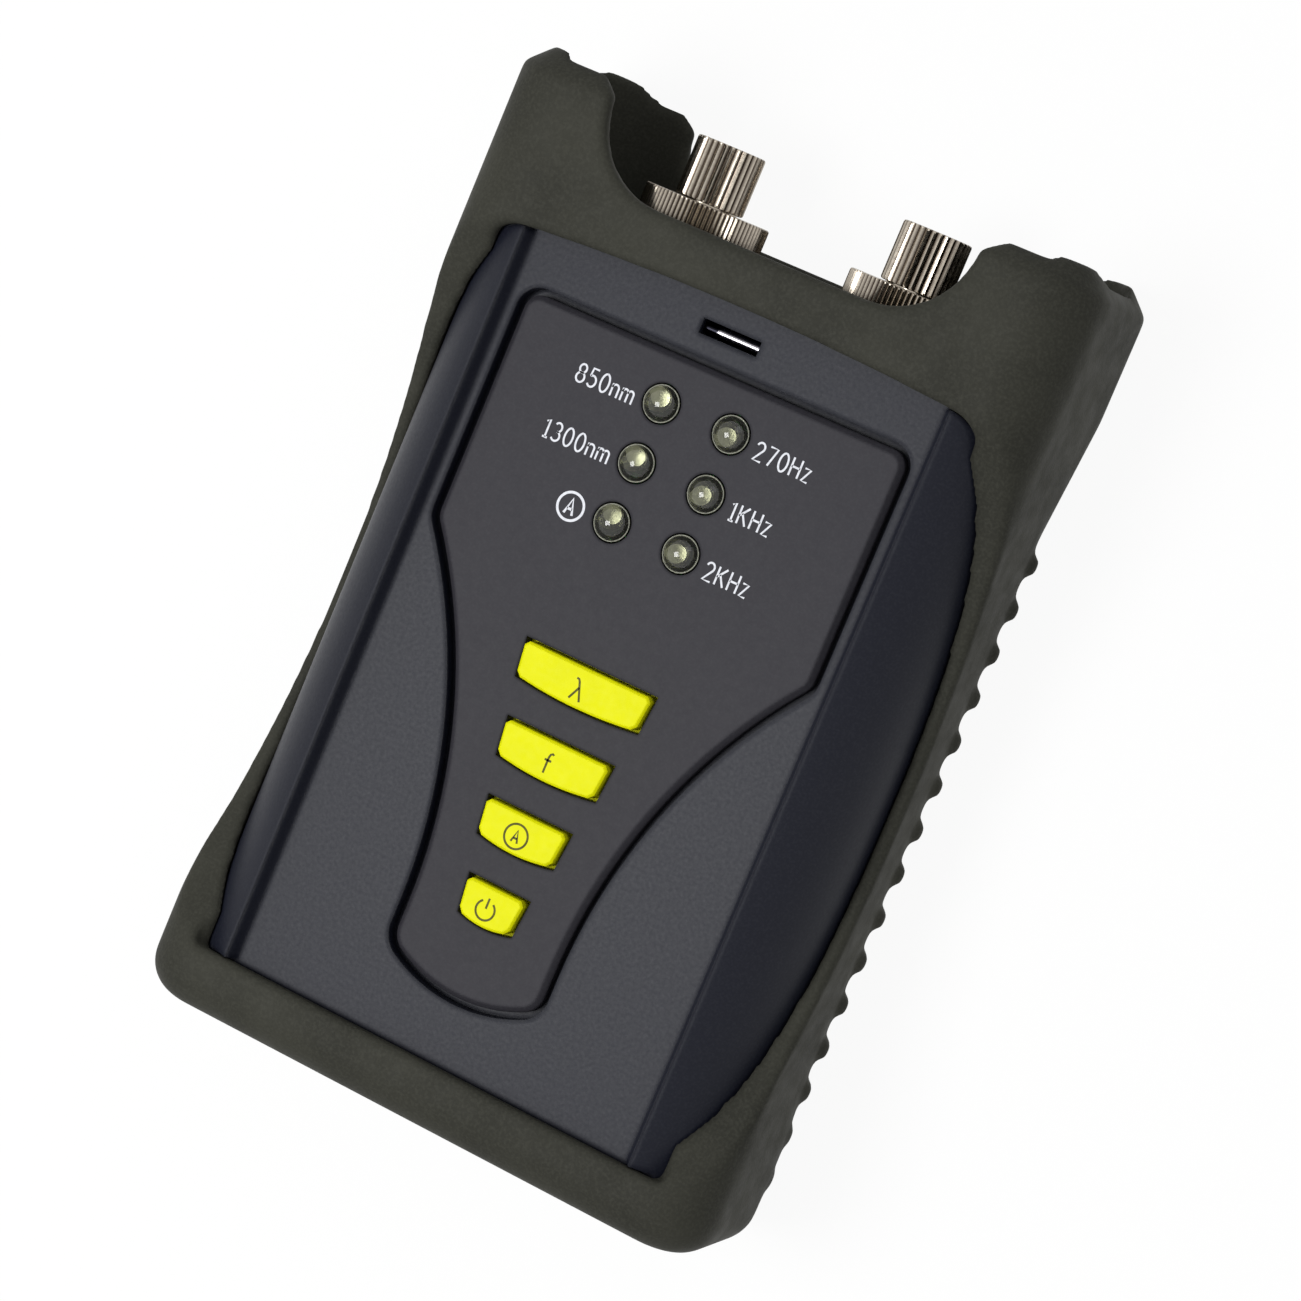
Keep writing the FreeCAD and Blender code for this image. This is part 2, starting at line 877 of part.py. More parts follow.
def strap_slot(body):
    """The strap slot and the channel that holds the bar behind it."""
    half = S.slot_length / 2
    wide = S.slot_width / 2
    cut(body, panel, S.panel_wall, rectangle(-half, slot_level - wide, half, slot_level + wide))
    bar_z = panel - S.bar_depth
    reach = S.bar_length / 2
    low = slot_level - S.bar_radius
    high = slot_level + S.bar_radius
    cut(body, bar_z + S.bar_radius, S.panel_wall, rectangle(-reach, low, reach, high))


def saddles(body, z, height):
    """A wall across each port's barrel; the barrel's flange stands in front of it."""
    sketch = level_sketch(body, z)
    for side in SIDES:
        left = side * port_column - S.saddle_half
        right = side * port_column + S.saddle_half
        draw(sketch, rectangle(left, port_seat - S.saddle_thickness, right, port_seat))
    pad(body, sketch, height)


def port_holes(body):
    """Half of each hole is in the front half of the casing and half in the rear half."""
    for start, length, radius in (
        (port_seat - S.saddle_thickness, S.saddle_thickness, S.barrel_rear_radius + S.easy_fit),
        (wall_inside, S.case_wall, S.barrel_radius + S.easy_fit),
    ):
        sketch = cross_sketch(body, start)
        for side in SIDES:
            draw_circle(sketch, side * port_column, port_height, radius)
        pocket(body, sketch, length)


def front_case():
    body = new_body("front_case")
    front_form(body)
    front_hollow(body)
    bezel_seat(body)
    strap_slot(body)
    saddles(body, port_height, ceiling - port_height)
    port_holes(body)
    squares(body, port_height, ceiling - port_height, S.boss_half, case_screws)
    squares(body, board_top, ceiling - board_top, S.post_half, board_posts)
    bite = S.screw_bite + S.easy_fit
    holes(body, port_height + bite, bite, S.screw_radius + S.fit, case_screws)


def rear_form(body):
    for shrink, start, length in (
        (0.0, case_head, case_head - case_tail),
        (S.case_wall, wall_inside, wall_inside - case_tail - S.case_wall),
    ):
        radius = S.case_rear_radius - shrink
        half = case_half - shrink
        back = case_back + shrink
        sketch = cross_sketch(body, start)
        half_outline = [
            (half - radius, back),
            (half, back + radius, radius, 1),
            (half, port_height),
        ]
        draw(sketch, both_sides(half_outline))
        if number(shrink):
            pocket(body, sketch, length, other_way=True)
        else:
            pad(body, sketch, length)


def battery_bay(body):
    """A box for two cells, open at the back, with a shallow recess for the door."""
    half = bay_half + S.bay_wall
    tail = bay_tail - S.bay_wall
    head = bay_head + S.bay_wall
    block(body, inside_back, bay_top - inside_back, rectangle(-half, tail, half, head))
    inner = rectangle(-bay_half, bay_tail, bay_half, bay_head)
    ceiling_z = bay_top - S.bay_roof
    cut(body, ceiling_z, ceiling_z, inner)
    gap = S.loose_fit
    wide = bay_half + S.door_side + gap
    low = bay_tail - S.door_margin - S.door_travel - gap
    high = bay_head + S.door_margin + gap
    depth = S.door_thickness + S.fit
    cut(body, case_back + depth, depth, rectangle(-wide, low, wide, high))
    # The door's tongue reaches through this slot
    wide = S.tongue_half + gap
    slot = rectangle(-wide, bay_head, wide, head)
    slot_top = door_top + gap
    cut(body, slot_top, slot_top - inside_back, slot)


def rear_case():
    body = new_body("rear_case")
    rear_form(body)
    battery_bay(body)
    saddles(body, inside_back, port_height - inside_back)
    port_holes(body)
    squares(body, inside_back, port_height - inside_back, S.boss_half, case_screws)
    squares(body, inside_back, board_back - inside_back, S.post_half, board_posts)
    holes(body, port_height, port_height, S.screw_radius + S.fit, case_screws)
    seat = case_back + S.screw_sink
    holes(body, seat, seat, S.screw_head_radius + S.fit, case_screws)


def case_screw_set():
    body = new_body("case_screws")
    seat = case_back + S.screw_sink
    shank = port_height + S.screw_bite - seat
    discs(body, seat - S.screw_head_height, S.screw_head_height, S.screw_head_radius, case_screws)
    discs(body, seat, shank, S.screw_radius, case_screws)


def lanyard_bar():
    body = new_body("lanyard_bar")
    sketch = side_sketch(body, -S.bar_length / 2)
    draw_circle(sketch, slot_level, panel - S.bar_depth, S.bar_radius)
    pad(body, sketch, S.bar_length)


# Keypad


def key_outline(row, grow=0.0):
    """A key's outline: straight head, slanting sides and a bowed foot."""
    head = key_rows[row] + grow
    half = key_halves[row] + grow
    foot = key_rows[row] - key_side - grow
    foot_half = half - S.key_taper
    bow = S.key_bow
    bow_radius = (squared(foot_half) + squared(bow)) / (2 * bow)
    return both_sides([(foot_half, foot), (half, head)], bottom=(bow_radius, 1))


def key_centre(row):
    return key_rows[row] - (key_side + S.key_bow) / 2


def upright(edge):
    box = edge.BoundBox
    return box.ZLength > 0.5 and box.XLength < 0.01 and box.YLength < 0.01


def key(row):
    """A key with a flange under the bezel and a stem that reaches down to its contact."""
    body = new_body(KEYS[row])
    flange_top = bezel_back - S.fit
    sketch = level_sketch(body, flange_top)
    draw(sketch, key_outline(row))
    pad(body, sketch, panel + S.key_rise - flange_top)
    dress(body, "Chamfer", S.key_corner, upright)
    dress(body, "Chamfer", S.key_edge, lies_at("Z", panel + S.key_rise))
    flange = level_sketch(body, flange_top)
    draw(flange, key_outline(row, S.key_flange))
    pad(body, flange, S.key_flange_thickness, other_way=True)
    stem_foot = board_top + S.contact_thickness + S.key_travel + S.easy_fit
    stem_top = flange_top - S.key_flange_thickness
    squares(body, stem_foot, stem_top - stem_foot, S.key_stem_half, [(0, key_centre(row))])


def keypad_bezel():
    body = new_body("keypad_bezel")
    block(body, bezel_back, S.bezel_thickness, funnel(-S.bezel_groove))
    dress(body, "Chamfer", S.bezel_bevel, lies_at("Z", panel))
    holes(body, panel, S.bezel_thickness, S.lamp_radius + S.lamp_hole_gap, lamp_places)
    windows = level_sketch(body, panel)
    for row in range(len(KEYS)):
        draw(windows, key_outline(row, S.key_gap))
    pocket(body, windows, S.bezel_thickness)


def key_stems():
    return [(0, key_centre(row)) for row in range(len(KEYS))]


def keypad_mat():
    """A sheet on the circuit board with an opening round each key's contact."""
    body = new_body("keypad_mat")
    low = key_centre(len(KEYS) - 1) - S.mat_margin
    high = key_centre(0) + S.mat_margin
    block(body, board_top, S.mat_thickness, rectangle(-S.mat_half, low, S.mat_half, high))
    top = board_top + S.mat_thickness
    square_holes(body, top, S.mat_thickness, S.contact_half + S.loose_fit, key_stems())


def key_contacts():
    body = new_body("key_contacts")
    squares(body, board_top, S.contact_thickness, S.contact_half, key_stems())


# Indicator lamps


def lamp(label, x, y):
    """A round lamp, whose dome is turned from two straight slopes."""
    body = new_body(label)
    sketch = cross_sketch(body, y, x=x)
    radius = S.lamp_radius
    top = panel + S.lamp_rise
    profile = [
        (0, board_top),
        (radius, board_top),
        (radius, top - radius * S.lamp_slope_share),
        (radius * S.lamp_top_share, top),
        (0, top),
    ]
    draw(sketch, profile)
    feature = add_feature(body, "Revolution", sketch)
    feature.ReferenceAxis = (sketch, ["V_Axis"])
    feature.Angle = 360
    doc.recompute()


def lamps():
    for side, names in LAMPS.items():
        for label, y in zip(names, lamp_rows):
            lamp(label, side * S.lamp_column, y)


def lamp_leads():
    body = new_body("lamp_leads")
    foot = board_back - S.lead_stub
    squares(body, foot, board_top - foot, S.lead_half, lead_places)


# Circuit board


def circuit_board():
    body = new_body("circuit_board")
    half = board_half
    outline = rectangle(-half, board_tail, half, board_head)
    block(body, board_back, S.board_thickness, outline)
    square_holes(body, board_top, S.board_thickness, S.lead_half + S.fit, lead_places)


def board_parts():
    """Two chips and a round capacitor hang from the board beside the battery bay."""
    body = new_body("board_parts")
    column = (bay_half + S.bay_wall + board_half) / 2
    middle = (board_tail + board_head) / 2
    back = board_back - S.chip_height
    for x, y in ((-column, middle), (column, middle + S.part_offset)):
        low = y - S.chip_half_length
        high = y + S.chip_half_length
        block(body, back, S.chip_height, rectangle(x - S.chip_half, low, x + S.chip_half, high))
    capacitor = [(column, middle - S.part_offset)]
    back = board_back - S.capacitor_height
    discs(body, back, S.capacitor_height, S.capacitor_radius, capacitor)


# Batteries


def cell(label, side):
    """A cell lies along Y; the left one's nub points to the ports."""
    body = new_body(label)
    nub_end = bay_head - S.plate_thickness if side < 0 else bay_tail + S.plate_thickness
    toward = -side
    base = nub_end - toward * S.cell_length
    shoulder = nub_end - toward * S.nub_height
    sketch = level_sketch(body, cell_z, x=side * cell_column)
    profile = [
        (0, base),
        (S.cell_radius, base),
        (S.cell_radius, shoulder),
        (S.nub_radius, shoulder),
        (S.nub_radius, nub_end),
        (0, nub_end),
    ]
    draw(sketch, profile)
    feature = add_feature(body, "Revolution", sketch)
    feature.ReferenceAxis = (sketch, ["V_Axis"])
    feature.Angle = 360
    doc.recompute()


def battery_plates():
    """A sprung-steel plate at each end of each cell."""
    body = new_body("battery_plates")
    half = S.plate_half
    for start in (bay_tail, bay_head - S.plate_thickness):
        sketch = cross_sketch(body, start)
        for side in SIDES:
            centre = side * cell_column
            draw(sketch, rectangle(centre - half, cell_z - half, centre + half, cell_z + half))
        pad(body, sketch, S.plate_thickness, other_way=True)


def battery_springs():
    """A bent leaf spring presses on the flat end of each cell."""
    body = new_body("battery_springs")
    half = S.leaf_half
    bent = S.leaf_bend
    thick = S.leaf_thickness
    for side in SIDES:
        plate = bay_tail + S.plate_thickness if side < 0 else bay_head - S.plate_thickness
        flat_end = plate - side * S.cell_play
        inner = flat_end + side * thick
        sketch = side_sketch(body, side * cell_column - half)
        outline = [
            (plate, cell_z - bent),
            (flat_end, cell_z),
            (plate, cell_z + bent),
            (plate, cell_z + bent - thick * 2),
            (inner, cell_z),
            (plate, cell_z - bent + thick * 2),
        ]
        draw(sketch, outline)
        pad(body, sketch, half * 2)


def battery_cover():
    """The door's outer plate, its core in the bay's mouth and the tongue at its head."""
    body = new_body("battery_cover")
    half = bay_half + S.door_side
    low = bay_tail - S.door_margin
    high = bay_head + S.door_margin
    block(body, case_back, S.door_thickness, rectangle(-half, low, half, high))
    gap = S.loose_fit
    core_half = bay_half - gap
    core_low = bay_tail + S.door_travel + gap
    core_high = bay_head - gap
    block(body, door_inside, S.door_core, rectangle(-core_half, core_low, core_half, core_high))
    root = core_high - S.tongue_root
    tip = core_high + S.tongue_reach
    tongue = rectangle(-S.tongue_half, root, S.tongue_half, tip)
    block(body, tongue_back, door_top - tongue_back, tongue)
    grip = level_sketch(body, case_back + S.grip_depth)
    for row in range(SIZES["grip_count"]):
        low = bay_tail + S.grip_margin - row * S.grip_pitch
        draw(grip, rectangle(-S.grip_half, low, S.grip_half, low + S.grip_width))
    pocket(body, grip, S.grip_depth)


# Optical ports


def port_housing(label, side):
    """The threaded barrel, with a square flange inside the wall and a bore for the ferrule."""
    body = new_body(label)
    centre = side * port_column
    half = S.port_flange_half
    flange = rectangle(centre - half, port_height - half, centre + half, port_height + half)
    front = cross_sketch(body, barrel_front)
    draw_circle(front, centre, port_height, S.barrel_radius)
    pad(body, front, barrel_front - wall_inside)
    middle = cross_sketch(body, wall_inside)
    draw(middle, flange)
    pad(body, middle, S.port_flange)
    rear = cross_sketch(body, port_seat)
    draw_circle(rear, centre, port_height, S.barrel_rear_radius)
    pad(body, rear, port_seat - barrel_rear)
    bore = cross_sketch(body, barrel_rear)
    draw_circle(bore, centre, port_height, S.ferrule_radius + S.fit)
    pocket(body, bore, barrel_front - barrel_rear)


def emitter(label, side):
    """A square can against the rear end of the barrel."""
    body = new_body(label)
    centre = side * port_column
    half = S.emitter_half
    sketch = cross_sketch(body, barrel_rear)
    outline = rectangle(centre - half, port_height - half, centre + half, port_height + half)
    draw(sketch, outline)
    pad(body, sketch, S.emitter_length)


def ferrule(label, side):
    turned(label, side, rectangle(0, barrel_rear, S.ferrule_radius, case_head + S.ferrule_out))


def sleeve(label, side):
    inner = S.ferrule_radius + S.fit
    front = nose_front - S.sleeve_sink
    turned(label, side, rectangle(inner, barrel_front + S.sleeve_gap, inner + S.sleeve_wall, front))


def adapter(label, side):
    """The nose that a connector plugs into; its flange is trapped under the ring's lip."""
    rear = barrel_front + S.fit
    bore = S.ferrule_radius + S.sleeve_wall + S.fit * 2
    profile = [
        (bore, rear),
        (S.nose_flange_radius, rear),
        (S.nose_flange_radius, rear + S.nose_flange),
        (S.nose_radius, rear + S.nose_flange),
        (S.nose_radius, nose_front),
        (bore, nose_front),
    ]
    turned(label, side, profile)


def coupling_ring(label, side):
    """A ring that screws along the barrel and carries the adapter with it."""
    bore = S.barrel_radius + S.easy_fit
    lip = barrel_front + S.nose_flange + S.fit * 2
    mouth = S.nose_radius + S.easy_fit * 2
    profile = [
        (bore, ring_rear),
        (S.ring_radius, ring_rear),
        (S.ring_radius, ring_front),
        (mouth, ring_front),
        (mouth, lip),
        (bore, lip),
    ]
    turned(label, side, profile)


def dust_cap(label, side):
    """A knurled cap that screws over the adapter's nose."""
    bore = S.nose_radius + S.easy_fit
    top = cap_front - S.cap_top
    profile = [
        (bore, cap_rear),
        (S.cap_radius, cap_rear),
        (S.cap_radius, cap_front),
        (0, cap_front),
        (0, top),
        (bore, top),
    ]
    body, sketch = turned(label, side, profile)
    doc.recompute()
    plain = body.Shape.Volume
    # One V groove along the rim, repeated all round, leaves the teeth of the knurl
    teeth = SIZES["cap_teeth"]
    foot = port_height + S.cap_radius - S.knurl_depth
    reach = S.knurl_depth * 2
    half = S.cap_radius * pi / teeth * 2
    groove = cross_sketch(body, cap_rear, x=side * port_column)
    draw(groove, [(-half, foot + reach), (0, foot), (half, foot + reach)])
    first = add_feature(body, "Pocket", groove, Length=cap_front - cap_rear)
    doc.recompute()
    if body.Shape.Volume >= plain:
        raise ValueError(f"{label} has no knurl")
    repeat(body, "PolarPattern", [first], Axis=(sketch, ["V_Axis"]), Angle=360.0, Occurrences=teeth)


def cap_seal(label, side):
    front = cap_front - S.cap_top - S.fit
    turned(label, side, rectangle(0, front - S.seal_thickness, S.nose_radius, front))


def port_board():
    """A small board across both emitters, under the main board."""
    body = new_body("port_board")
    front = barrel_rear - S.emitter_length - S.port_board_gap
    half = port_column + S.port_board_side
    sketch = cross_sketch(body, front)
    draw(sketch, rectangle(-half, case_back + S.port_board_foot, half, board_back))
    pad(body, sketch, S.board_thickness)
    pin_holes = cross_sketch(body, front - S.board_thickness)
    draw_squares(pin_holes, S.pin_half + S.fit, pin_places)
    pocket(body, pin_holes, S.board_thickness)


def emitter_pins():
    body = new_body("emitter_pins")
    sketch = cross_sketch(body, barrel_rear - S.emitter_length)
    draw_squares(sketch, S.pin_half, pin_places)
    pad(body, sketch, S.pin_length)


def ports():
    makers = {
        "port_housing": port_housing,
        "emitter": emitter,
        "ferrule": ferrule,
        "sleeve": sleeve,
        "adapter": adapter,
        "coupling_ring": coupling_ring,
        "cap_seal": cap_seal,
        "dust_cap": dust_cap,
    }
    for side, name in SIDES.items():
        for piece, make in makers.items():
            make(f"{name}_{piece}", side)


rubber_boot()
front_case()
rear_case()
case_screw_set()
lanyard_bar()
keypad_bezel()
keypad_mat()
key_contacts()
for row in range(len(KEYS)):
    key(row)
lamps()
lamp_leads()
circuit_board()
board_parts()
cell("battery_left", -1)
cell("battery_right", 1)
battery_plates()
battery_springs()
battery_cover()
port_board()
emitter_pins()
ports()


def faults():
    """Every object that did not build, and every body whose shape is missing or unsound."""
    found = [o.Label for o in doc.Objects if {"Invalid", "Error"} & set(o.State)]
    for body in bodies():
        shape = body.Shape
        if shape.isNull() or not shape.isValid() or not shape.Solids or shape.Volume <= 0:
            found.append(body.Label)
    return found


def bodies():
    return [o for o in doc.Objects if o.TypeId == "PartDesign::Body"]


doc.recompute()
broken = faults()
if broken:
    raise ValueError(f"these did not build: {broken}")
os.makedirs("parts", exist_ok=True)
for body in bodies():
    body.Shape.exportStep(f"parts/{body.Label}.step")
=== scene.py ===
import math

import bmesh
import bpy
from mathutils import Matrix, Vector


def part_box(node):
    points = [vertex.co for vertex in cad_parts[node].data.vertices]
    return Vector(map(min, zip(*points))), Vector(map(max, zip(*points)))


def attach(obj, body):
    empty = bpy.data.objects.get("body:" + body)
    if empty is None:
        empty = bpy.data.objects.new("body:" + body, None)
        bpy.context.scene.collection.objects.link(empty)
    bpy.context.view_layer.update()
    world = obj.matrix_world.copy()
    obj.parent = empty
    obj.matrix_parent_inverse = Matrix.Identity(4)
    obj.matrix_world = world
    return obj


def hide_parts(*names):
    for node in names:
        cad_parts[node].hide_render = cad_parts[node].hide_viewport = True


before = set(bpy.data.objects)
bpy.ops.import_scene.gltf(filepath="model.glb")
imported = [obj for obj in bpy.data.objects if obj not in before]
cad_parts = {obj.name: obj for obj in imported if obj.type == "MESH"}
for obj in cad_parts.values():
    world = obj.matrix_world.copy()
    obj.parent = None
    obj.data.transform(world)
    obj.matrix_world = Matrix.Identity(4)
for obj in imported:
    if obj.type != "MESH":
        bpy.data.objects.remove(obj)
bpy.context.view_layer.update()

bl_info = {
    "name": "Optical light source looks",
    "version": (1, 0, 0),
    "blender": (4, 5, 0),
    "location": "3D View > Sidebar > Light source",
    "description": "Finishes, legends, lamp frames and studio for a handheld optical light source",
    "category": "Object",
}

MM = 0.001
PORT_SIDES = ("left", "right")
KEY_NODES = ("key_wavelength", "key_frequency", "key_auto", "key_power")
LAMP_NODES = ("lamp_850", "lamp_1300", "lamp_auto", "lamp_270", "lamp_1k", "lamp_2k")

# Soft boot: how near points are welded, rounds of smoothing, share of the faces kept
WELD = 0.002 * MM
SMOOTHING_ROUNDS = 14
FACES_KEPT = 0.45

# Printed film: its thickness, and how far the keys' signs stand off the keys
INK = 0.01 * MM
SIGN_LIFT = 0.005 * MM

# Legends beside the lamps: from a lamp's middle down to the words, and the ringed letter's sizes
BASELINE_DROP = 1.7 * MM
RINGED_SHIFT = (2.1 * MM, 0.3 * MM)
RINGED_RADIUS = 1.8 * MM
RINGED_HEIGHT = 2.1 * MM

# Knurled rings and caps
RING_TEETH = 80
CAP_TEETH = 32
KNURL_DEPTH = 0.3 * MM
TURNED_EDGE = 0.3 * MM

# The range that a noise mostly keeps to
NOISE = (0.3, 0.7)

# The camera as solved from the casing's edges: degrees, metres and pixels
CAMERA_ROLL, CAMERA_PITCH, CAMERA_YAW = -22.79, 6.79, -18.83
CAMERA_SPOT = (0.1599, 0.0584, 0.4805)
CAMERA_TARGET = (0.0, 0.00915, 0.03)
FOCAL_PIXELS = 3847.7
PICTURE_PIXELS = 1301
SENSOR_MM = 36.0

# Studio, in metres; the glow is the share of the floor that shows as plain white
KEY_LIGHT_SPOT, KEY_LIGHT_SIZE = (-0.20, -0.10, 0.62), (0.3, 0.3)
SIDE_LIGHT_SPOT, SIDE_LIGHT_SIZE = (0.3, 0.5, 0.4), (0.4, 0.4)
LIGHTS_AIM = (0, 0, 0.015)
FLOOR_HEIGHT = -0.0002
FLOOR_HALF = 3.0
PAPER_GLOW = 0.93


def port_axis(side):
    """Where a port's axis crosses X and Z; it runs along Y."""
    low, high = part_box(f"{side}_coupling_ring")
    return (low[0] + high[0]) / 2, (low[2] + high[2]) / 2


PORT_COLUMN, PORT_HEIGHT = port_axis("right")


# Colour and nodes


def linear(code):
    """An sRGB hex colour as the linear colour that a shader takes."""
    parts = [int(code[i : i + 2], 16) / 255 for i in (1, 3, 5)]
    rgb = [p / 12.92 if p <= 0.04045 else ((p + 0.055) / 1.055) ** 2.4 for p in parts]
    return (*rgb, 1.0)


def add_node(tree, kind, links=None, **settings):
    """Adds a node, sets its inputs and properties, and links its inputs from other sockets."""
    made = tree.nodes.new(kind)
    for name, value in settings.items():
        setattr(made, name, value)
    for name, source in (links or {}).items():
        socket = made.inputs[name]
        if isinstance(source, bpy.types.NodeSocket):
            tree.links.new(source, socket)
        else:
            socket.default_value = source
    return made


def new_material(name, shader=None):
    """A material with one Principled shader and its inputs; returns it, its tree and the shader."""
    material = bpy.data.materials.new(name)
    material.use_nodes = True
    tree = material.node_tree
    tree.nodes.clear()
    surface = add_node(tree, "ShaderNodeBsdfPrincipled", shader)
    add_node(tree, "ShaderNodeOutputMaterial", {"Surface": surface.outputs[0]})
    return material, tree, surface


def place(tree, scale=(1, 1, 1)):
    """Object coordinates, stretched by scale."""
    where = add_node(tree, "ShaderNodeTexCoord").outputs["Object"]
    links = {"Vector": where, "Scale": scale}
    return add_node(tree, "ShaderNodeMapping", links).outputs[0]


def grain(tree, size_mm, where=None, detail=2.0):
    """A noise whose grains are about size_mm across."""
    if where is None:
        where = place(tree)
    links = {"Scale": 1 / (size_mm * MM), "Detail": detail, "Vector": where}
    return add_node(tree, "ShaderNodeTexNoise", links).outputs[0]


def spread(tree, value, low, high, first, last):
    """Maps value from low..high to first..last."""
    links = {"Value": value, "From Min": low, "From Max": high, "To Min": first, "To Max": last}
    return add_node(tree, "ShaderNodeMapRange", links).outputs[0]


def blend_colours(tree, factor, first, second):
    """Mixes two hex colours or colour sockets."""
    mixer = add_node(tree, "ShaderNodeMix", data_type="RGBA")
    tree.links.new(factor, mixer.inputs["Factor"])
    for index, colour in ((6, first), (7, second)):
        if isinstance(colour, str):
            mixer.inputs[index].default_value = linear(colour)
        else:
            tree.links.new(colour, mixer.inputs[index])
    return mixer.outputs[2]


def maths(tree, operation, first, second=0.0):
    """One sum on numbers or number sockets."""
    return add_node(tree, "ShaderNodeMath", {0: first, 1: second}, operation=operation).outputs[0]


def relief(tree, surface, height, depth_mm, strength, normal=None):
    """Raises the surface by height, which is 0 to 1, times depth_mm."""
    links = {"Height": height, "Strength": strength, "Distance": depth_mm * MM}
    if normal is not None:
        links["Normal"] = normal
    bump = add_node(tree, "ShaderNodeBump", links)
    tree.links.new(bump.outputs[0], surface.inputs["Normal"])


def softened(tree, radius_mm):
    """A normal that rounds the edges of moulded parts."""
    return add_node(tree, "ShaderNodeBevel", {"Radius": radius_mm * MM}, samples=4).outputs[0]


def object_axes(tree):
    """X, Y and Z of the object coordinates, by name."""
    where = add_node(tree, "ShaderNodeTexCoord").outputs["Object"]
    return add_node(tree, "ShaderNodeSeparateXYZ", {"Vector": where}).outputs


def coat(tree, surface, factor, first, second):
    """Base colour that goes from first to second by factor."""
    tree.links.new(blend_colours(tree, factor, first, second), surface.inputs["Base Color"])


def shine(tree, surface, size_mm, low, high):
    """Roughness that wanders from low to high over patches of size_mm."""
    rough = spread(tree, grain(tree, size_mm), *NOISE, low, high)
    tree.links.new(rough, surface.inputs["Roughness"])


# Finishes


def moulded_rubber(colour):
    """Thermoplastic rubber from a spark-eroded mould: dark olive, satin, with a fine even grain."""
    material, tree, surface = new_material("moulded_tpe_rubber", {"Specular IOR Level": 0.05})
    cloud = spread(tree, grain(tree, 14), 0.35, 0.65, 0.0, 1.0)
    base = blend_colours(tree, cloud, colour, "#373731")
    dust = spread(tree, grain(tree, 0.4, detail=4), 0.42, 0.72, 0.0, 0.4)
    coat(tree, surface, dust, base, "#46463f")
    shine(tree, surface, 3, 0.5, 0.62)
    # Mould grain is about 0.25 mm across, drawn at 0.45 mm so that it shows
    relief(tree, surface, grain(tree, 0.45, detail=3), 0.05, 0.5, softened(tree, 1.6))
    return material


def textured_abs(colour):
    """Blue-black ABS with the fine leather grain of a photo-etched mould."""
    material, tree, surface = new_material("etched_abs", {"Specular IOR Level": 0.18})
    fleck = spread(tree, grain(tree, 0.35, detail=3), 0.45, 0.7, 0.0, 0.6)
    coat(tree, surface, fleck, colour, "#1f2129")
    shine(tree, surface, 0.5, 0.42, 0.48)
    # Etched cells are finer than this on a real case, drawn at 0.55 mm so that they show
    links = {"Scale": 1 / (0.55 * MM), "Vector": place(tree)}
    cells = add_node(tree, "ShaderNodeTexVoronoi", links).outputs["Distance"]
    relief(tree, surface, cells, 0.02, 0.3, softened(tree, 1.1))
    return material


def smooth_abs(colour):
    """The bezel's ABS: a smoother mould than the casing's, so it reflects more evenly."""
    material, tree, surface = new_material("satin_abs", {"Specular IOR Level": 0.12})
    fleck = spread(tree, grain(tree, 0.4, detail=3), 0.45, 0.7, 0.0, 0.3)
    coat(tree, surface, fleck, colour, "#3c3c40")
    shine(tree, surface, 0.8, 0.49, 0.53)
    relief(tree, surface, grain(tree, 0.3), 0.01, 0.3, softened(tree, 0.6))
    return material


def key_plastic(colour):
    """Pigmented key plastic: strong yellow, satin, a little deeper in patches."""
    material, tree, surface = new_material("pigmented_key_plastic", {"Specular IOR Level": 0.06})
    shade = spread(tree, grain(tree, 3), *NOISE, 0.0, 0.35)
    coat(tree, surface, shade, colour, "#d2d402")
    shine(tree, surface, 1, 0.36, 0.48)
    relief(tree, surface, grain(tree, 0.3), 0.01, 0.3, softened(tree, 0.3))
    return material


def groove_painted_shade(tree, crest_mm, depth_mm):
    """Painted shade share: 1 in a port's knurl grooves, 0 at its crests, on its flat ends and in
    its bore.
    """
    parts = object_axes(tree)
    across = maths(tree, "ABSOLUTE", parts["X"])
    across = maths(tree, "SUBTRACT", across, PORT_COLUMN)
    up = maths(tree, "SUBTRACT", parts["Z"], PORT_HEIGHT)
    squares = maths(tree, "ADD", maths(tree, "POWER", across, 2.0), maths(tree, "POWER", up, 2.0))
    radius = maths(tree, "SQRT", squares)
    foot = (crest_mm - depth_mm) * MM
    share = spread(tree, radius, foot, foot + depth_mm * MM * 0.7, 1.0, 0.0)
    rim = maths(tree, "GREATER_THAN", radius, foot - 0.03 * MM)
    normal = add_node(tree, "ShaderNodeNewGeometry").outputs["True Normal"]
    ends = add_node(tree, "ShaderNodeSeparateXYZ", {"Vector": normal}).outputs["Y"]
    sides = maths(tree, "SUBTRACT", 1.0, maths(tree, "ABSOLUTE", ends))
    return maths(tree, "MULTIPLY", maths(tree, "MULTIPLY", share, rim), sides)


def plated_brass(name, colour, crest_mm=None, depth_mm=None):
    """Nickel on turned brass: bright crests; the knurl's grooves brown, partly oxide, partly
    painted shade.
    """
    material, tree, surface = new_material(name, {"Metallic": 1.0})
    fine = grain(tree, 0.5, place(tree, (1, 6, 1)))
    tint = blend_colours(tree, spread(tree, fine, *NOISE, 0, 1), colour, "#a39a8e")
    if crest_mm:
        # Dark brown in the knurl's grooves: partly oxide, partly painted shade and painted dark
        # reflection.
        tint = blend_colours(tree, groove_painted_shade(tree, crest_mm, depth_mm), tint, "#2b1d14")
    tree.links.new(tint, surface.inputs["Base Color"])
    shine(tree, surface, 0.8, 0.14, 0.22)
    relief(tree, surface, fine, 0.002, 0.2)
    return material


